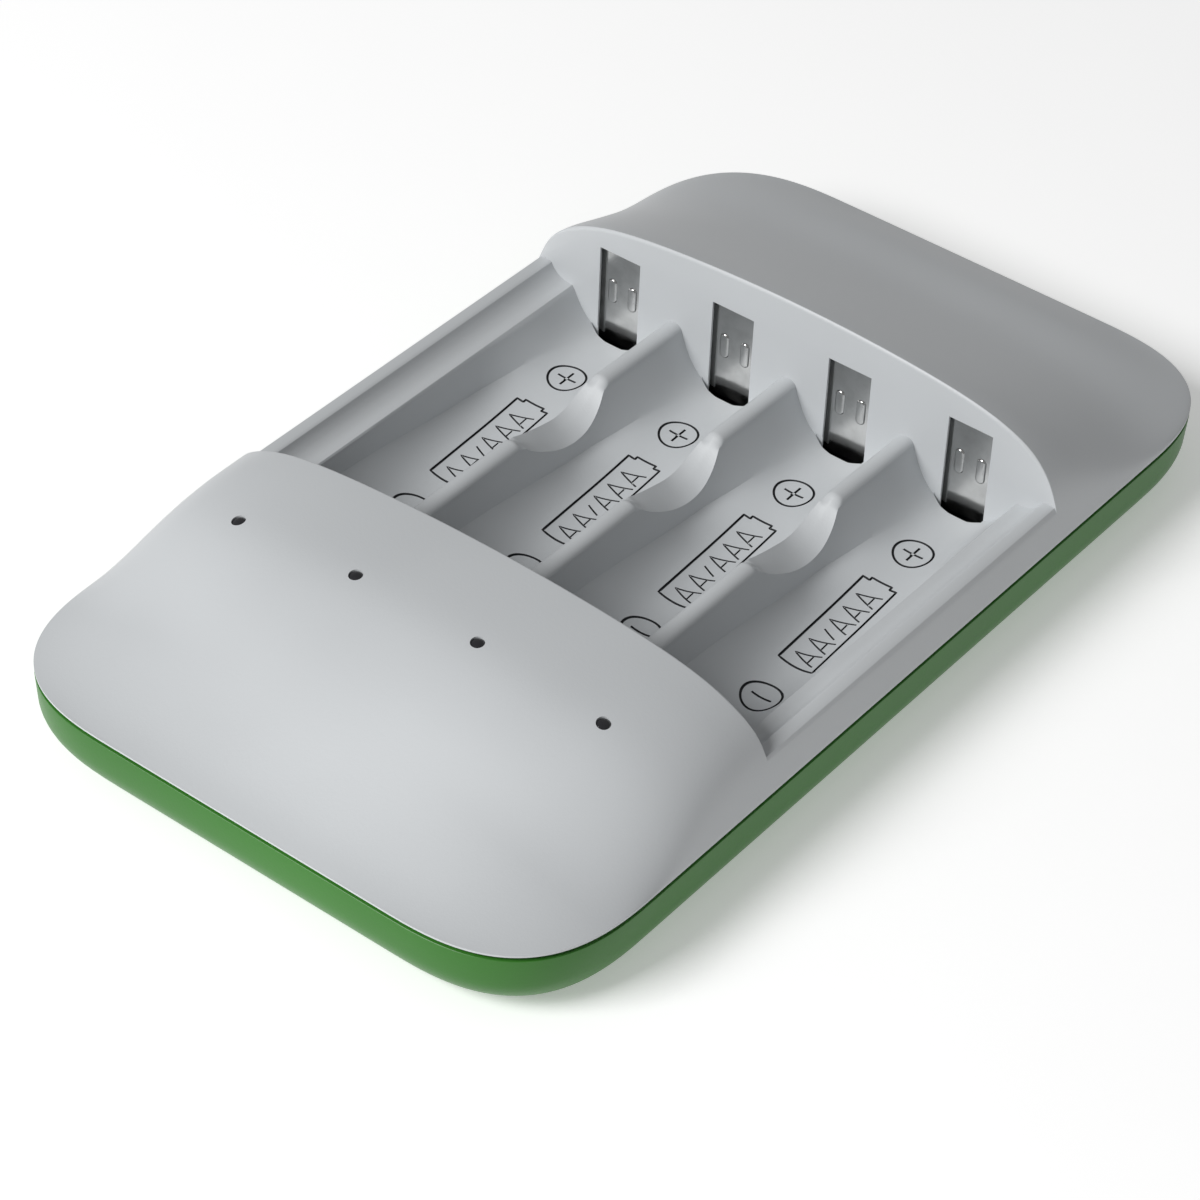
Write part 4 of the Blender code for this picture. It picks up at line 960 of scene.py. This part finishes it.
def plated(name, base, rough, grain=(1.0, 1.0, 0.06), scale=5200.0, depth=0.000004):
    """Rolled and plated sheet: fine lines one way, soft patches of gloss, a little tarnish."""
    mat = Finish(name, IOR=2.2)
    lines = mat.noise(scale, 2.0, grain)
    patch = mat.noise(420.0, 3.0)
    dull = colour(*(c * 0.82 for c in base))
    mat.feed("Base Color", mat.blend(mat.ramp(patch, 0.40, 0.72), colour(*base), dull))
    mat.feed("Metallic", 1.0 - 0.06 * mat.ramp(patch, 0.5, 0.9))
    mat.feed("Roughness", rough - 0.05 + 0.12 * lines + 0.06 * patch)
    mat.bump(lines, depth)
    return mat.material


def solder_mask(name):
    """Circuit board: glass weave under green mask and dark copper runs."""
    mat = Finish(name)
    weave = mat.noise(1400.0, 1.0, (1.0, 0.3, 1.0))
    cell = mat.node("ShaderNodeTexVoronoi", {"distance": "MANHATTAN"},
                    {"Vector": mat.where(), "Scale": 260.0})
    green = mat.blend(weave, colour(0.010, 0.11, 0.045), colour(0.018, 0.16, 0.065))
    runs = mat.ramp(cell, 0.30, 0.34)
    mat.feed("Base Color", mat.blend(runs, green, colour(0.008, 0.075, 0.035)))
    mat.feed("Roughness", 0.32 + 0.12 * weave)
    mat.bump(weave, 0.00001)
    return mat.material


def smoked(name):
    """Smoked clear plastic seen as near black, polished, with faint flow marks."""
    mat = Finish(name, IOR=1.49, Coat_Roughness=0.05)
    flow = mat.noise(900.0, 2.0)
    mat.feed("Base Color", mat.blend(flow, colour(0.010, 0.010, 0.012), colour(0.022, 0.022, 0.026)))
    mat.feed("Roughness", 0.10 + 0.08 * flow)
    mat.feed("Coat Weight", 0.4 + 0.3 * flow)
    mat.bump(flow, 0.000004)
    return mat.material


def rubber(name):
    """Matt black rubber with fine grain and a little dust."""
    mat = Finish(name, IOR=1.5)
    fine = mat.noise(1800.0, 4.0, roughness=0.7)
    dust = mat.noise(260.0, 3.0)
    dusty = mat.ramp(dust, 0.5, 0.8)
    mat.feed("Base Color", mat.blend(dusty, colour(0.018, 0.018, 0.019), colour(0.05, 0.05, 0.048)))
    mat.feed("Roughness", 0.72 + 0.14 * fine)
    mat.bump(fine, 0.00003)
    return mat.material


GREY = moulded("satin_grey", (0.575, 0.595, 0.61), 0.40)
# Painted shade: a near-black grey laid on the mark grooves, the tongue in the parting gap and the tray's
# inner floor, where shadow falls.
PAINTED_SHADE = moulded("painted_shade_grey", (0.045, 0.047, 0.05), 0.6)
GREEN = moulded("satin_green", (0.030, 0.165, 0.013), 0.36, tint=0.06)
NICKEL = plated("nickel_plate", (0.70, 0.70, 0.69), 0.13, (1.0, 1.0, 0.25), 2600.0, 0.0000012)
SPRING = plated("spring_wire", (0.55, 0.55, 0.54), 0.28, (1.0, 1.0, 1.0))
STEEL = plated("zinc_steel", (0.50, 0.51, 0.52), 0.34, (1.0, 1.0, 1.0))
TIN = plated("inlet_tin", (0.58, 0.58, 0.57), 0.26, (1.0, 0.08, 1.0))
CAN = plated("capacitor_can", (0.62, 0.63, 0.64), 0.30, (1.0, 1.0, 0.1))
BLACK = moulded("chip_black", (0.020, 0.020, 0.021), 0.48, tint=0.15)
FERRITE = moulded("coil_ferrite", (0.055, 0.055, 0.058), 0.60, 0.00003, 0.2, 1500.0)
RIBBON = moulded("flat_cable_white", (0.62, 0.62, 0.60), 0.45, tint=0.05)
LENS = moulded("led_lens", (0.72, 0.72, 0.66), 0.25, tint=0.05)
BOARD_GREEN = solder_mask("board_green")
SMOKED = smoked("smoked_window")
RUBBER = rubber("foot_rubber")


def wear(obj, material):
    """Gives a piece one material in place of what it had."""
    obj.data.materials.clear()
    obj.data.materials.append(material)


def fit(obj, material, body, node):
    """Gives a new piece its material, the body it moves with and the CAD node it stands for."""
    wear(obj, material)
    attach(obj, body)
    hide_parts(node)


def paint_shade_in_grooves_and_gap(obj):
    """Puts painted shade, the dark grey, on the marks' grooves and on the tongue seen through the parting
    gap.
    """
    mesh = obj.data
    count = len(mesh.polygons)
    middle, normal = np.empty(count * 3), np.empty(count * 3)
    mesh.polygons.foreach_get("center", middle)
    mesh.polygons.foreach_get("normal", normal)
    x, y, z = (middle.reshape(-1, 3) * 1000).T
    z = z - PARTING
    up = normal.reshape(-1, 3)[:, 2]
    bay = (x + 2 * PITCH) % PITCH - PITCH / 2
    marked = (np.abs(bay) < 2.7) & (y > MINUS_AT - 3) & (y < PLUS_AT + 3) & (z > -8)
    depth = bay_floor(bay, y) - z
    groove = marked & (depth > 0.07) & (depth < MARK_DEEP + 0.1) & (up > -0.5)
    tongue = (z < -EDGE_SHOWN - 0.01) & (z > -EDGE_DROP - TONGUE_DEPTH) & (np.abs(up) < 0.5)
    tongue &= (np.abs(x) > half_width(y, SHELL_WALL + GAP + 0.2) - 0.2) | (np.abs(y) > LONG / 2 - 2.2)
    # Groove and tongue faces take slot 1, the painted shade.
    mesh.polygons.foreach_set("material_index", np.where(groove | tongue, 1, 0).astype(np.int32))
    mesh.update()


def paint_shade_on_inner_floor(obj):
    """Puts painted shade, the dark grey, on the tray's inner floor, a dark place seen behind the contacts.
    """
    floor_z = (PARTING - SHELL_DEPTH + SHELL_WALL) * 0.001
    for face in obj.data.polygons:
        # Inner-floor faces take slot 1, the painted shade.
        face.material_index = int(face.normal[2] > 0.5 and abs(face.center[2] - floor_z) < 0.002)


# ---------------------------------------------------------------- put together

housing = top_moulding()
fit(housing, GREY, "housing", "top_housing")
# Second slot: painted shade for the mark grooves and the tongue in the parting gap.
housing.data.materials.append(PAINTED_SHADE)
paint_shade_in_grooves_and_gap(housing)
lower = tray()
fit(lower, GREEN, "housing", "bottom_shell")
# Second slot: painted shade for the tray's inner floor.
lower.data.materials.append(PAINTED_SHADE)
paint_shade_on_inner_floor(lower)
fit(socket_shell(), TIN, "housing", "power_inlet")
for count, bay in enumerate(BAY_X, 1):
    fit(contact_plate(count, bay), NICKEL, "housing", f"positive_contact_{count}")
    fit(slider(count, bay), NICKEL, f"negative_contact_{count}", f"negative_slider_{count}")
    fit(window(count, bay), SMOKED, "housing", f"light_pipe_{count}")
    coil = spring(count, bay)
    fit(coil, SPRING, "housing", f"slider_spring_{count}")
    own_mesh(coil)
for count, (sx, sy) in enumerate(screw_places(), 1):
    fit(screw(count, sx, sy), STEEL, "housing", f"housing_screw_{count}")
    fit(foot(count, *foot_place(sx, sy)), RUBBER, "housing", f"rubber_foot_{count}")

CARRIED = {"led_board": BOARD_GREEN, "power_board": BOARD_GREEN, "controller_chip": BLACK,
           "power_inductor": FERRITE, "filter_capacitor_1": CAN, "filter_capacitor_2": CAN,
           "link_cable": RIBBON}
for count in range(1, 5):
    CARRIED[f"spring_terminal_{count}"] = NICKEL
    CARRIED[f"status_led_{count}"] = LENS
for name, material in CARRIED.items():
    wear(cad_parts[name], material)


# ---------------------------------------------------------------- floor, light and camera


def floor():
    """A wide, flat, pale sheet on which the feet stand."""
    count, half = 41, 1600.0
    a = np.linspace(-1.0, 1.0, count)
    x, y = np.meshgrid(a * half, a * half, indexing="ij")
    points = np.stack([x, y, np.full_like(x, -PARTING)], axis=-1).reshape(-1, 3)
    i, j = np.meshgrid(np.arange(count - 1), np.arange(count - 1), indexing="ij")
    corner, beside = i * count + j, (i + 1) * count + j
    faces = np.stack([corner, beside, beside + 1, corner + 1], axis=-1).reshape(-1, 4)
    sheet = place("studio_floor", points, faces)
    mat = Finish("studio_paper", Roughness=0.9, Emission_Strength=0.30)
    grain = mat.noise(40.0, 2.0)
    mat.feed("Base Color", mat.blend(grain, colour(0.955, 0.955, 0.955), colour(0.97, 0.97, 0.97)))
    wear(sheet, mat.material)


def stand(obj, side, top, back, spot):
    """Puts a lamp or camera at spot in metres, looking along -back with top upwards."""
    turn = np.eye(4)
    turn[:3, 0], turn[:3, 1], turn[:3, 2], turn[:3, 3] = side, top, back, spot
    obj.matrix_world = Matrix(turn.tolist())


def lamp(name, spot, aim, size, power):
    """A white rectangular lamp at spot, aimed at a point."""
    light = bpy.data.lights.new(name, "AREA")
    light.shape = "RECTANGLE"
    light.size, light.size_y = size
    light.energy = power
    back = np.array(spot, dtype=float) - np.array(aim, dtype=float)
    back /= np.linalg.norm(back)
    side = np.cross((0.0, 0.0, 1.0), back)
    side /= np.linalg.norm(side)
    stand(added(name, light), side, np.cross(back, side), back, spot)


def camera():
    """The photograph's view: a long lens at azimuth 36.8 and elevation 40.2 degrees, rolled 2.5."""
    azimuth, elevation, roll = (math.radians(a) for a in (36.804, 40.151, 2.505))
    focal, distance, centre_x, centre_y, size = 3958.4, 453.149, 646.012, 512.361, 1200.0
    back = np.array([math.sin(azimuth) * math.cos(elevation), -math.cos(azimuth) * math.cos(elevation),
                     math.sin(elevation)])
    right = np.array([math.cos(azimuth), math.sin(azimuth), 0.0])
    up = np.cross(back, right)
    side = right * math.cos(roll) + up * math.sin(roll)
    top = -right * math.sin(roll) + up * math.cos(roll)
    step = distance / focal
    spot = distance * back - (centre_x - size / 2) * step * side + (centre_y - size / 2) * step * top
    spot = (spot + np.array([0.0, 1.19, PARTING])) * 0.001
    data = bpy.data.cameras.new("camera")
    data.sensor_width = 36.0
    data.lens = focal / size * 36.0
    data.clip_start, data.clip_end = 0.01, 20.0
    obj = added("camera", data)
    stand(obj, side, top, back, spot)
    bpy.context.scene.camera = obj


def studio():
    """Soft white surroundings, one key lamp, the floor and the camera."""
    world = bpy.data.worlds.new("studio")
    world.use_nodes = True
    background = world.node_tree.nodes["Background"]
    background.inputs[0].default_value = colour(1.0, 1.0, 1.0)
    background.inputs[1].default_value = 0.22
    bpy.context.scene.world = world
    bpy.context.scene.view_settings.view_transform = "Standard"
    lamp("key", (-0.29, -0.72, 0.63), (0, 0, 0), (0.45, 0.45), 8.5)
    floor()
    camera()


studio()
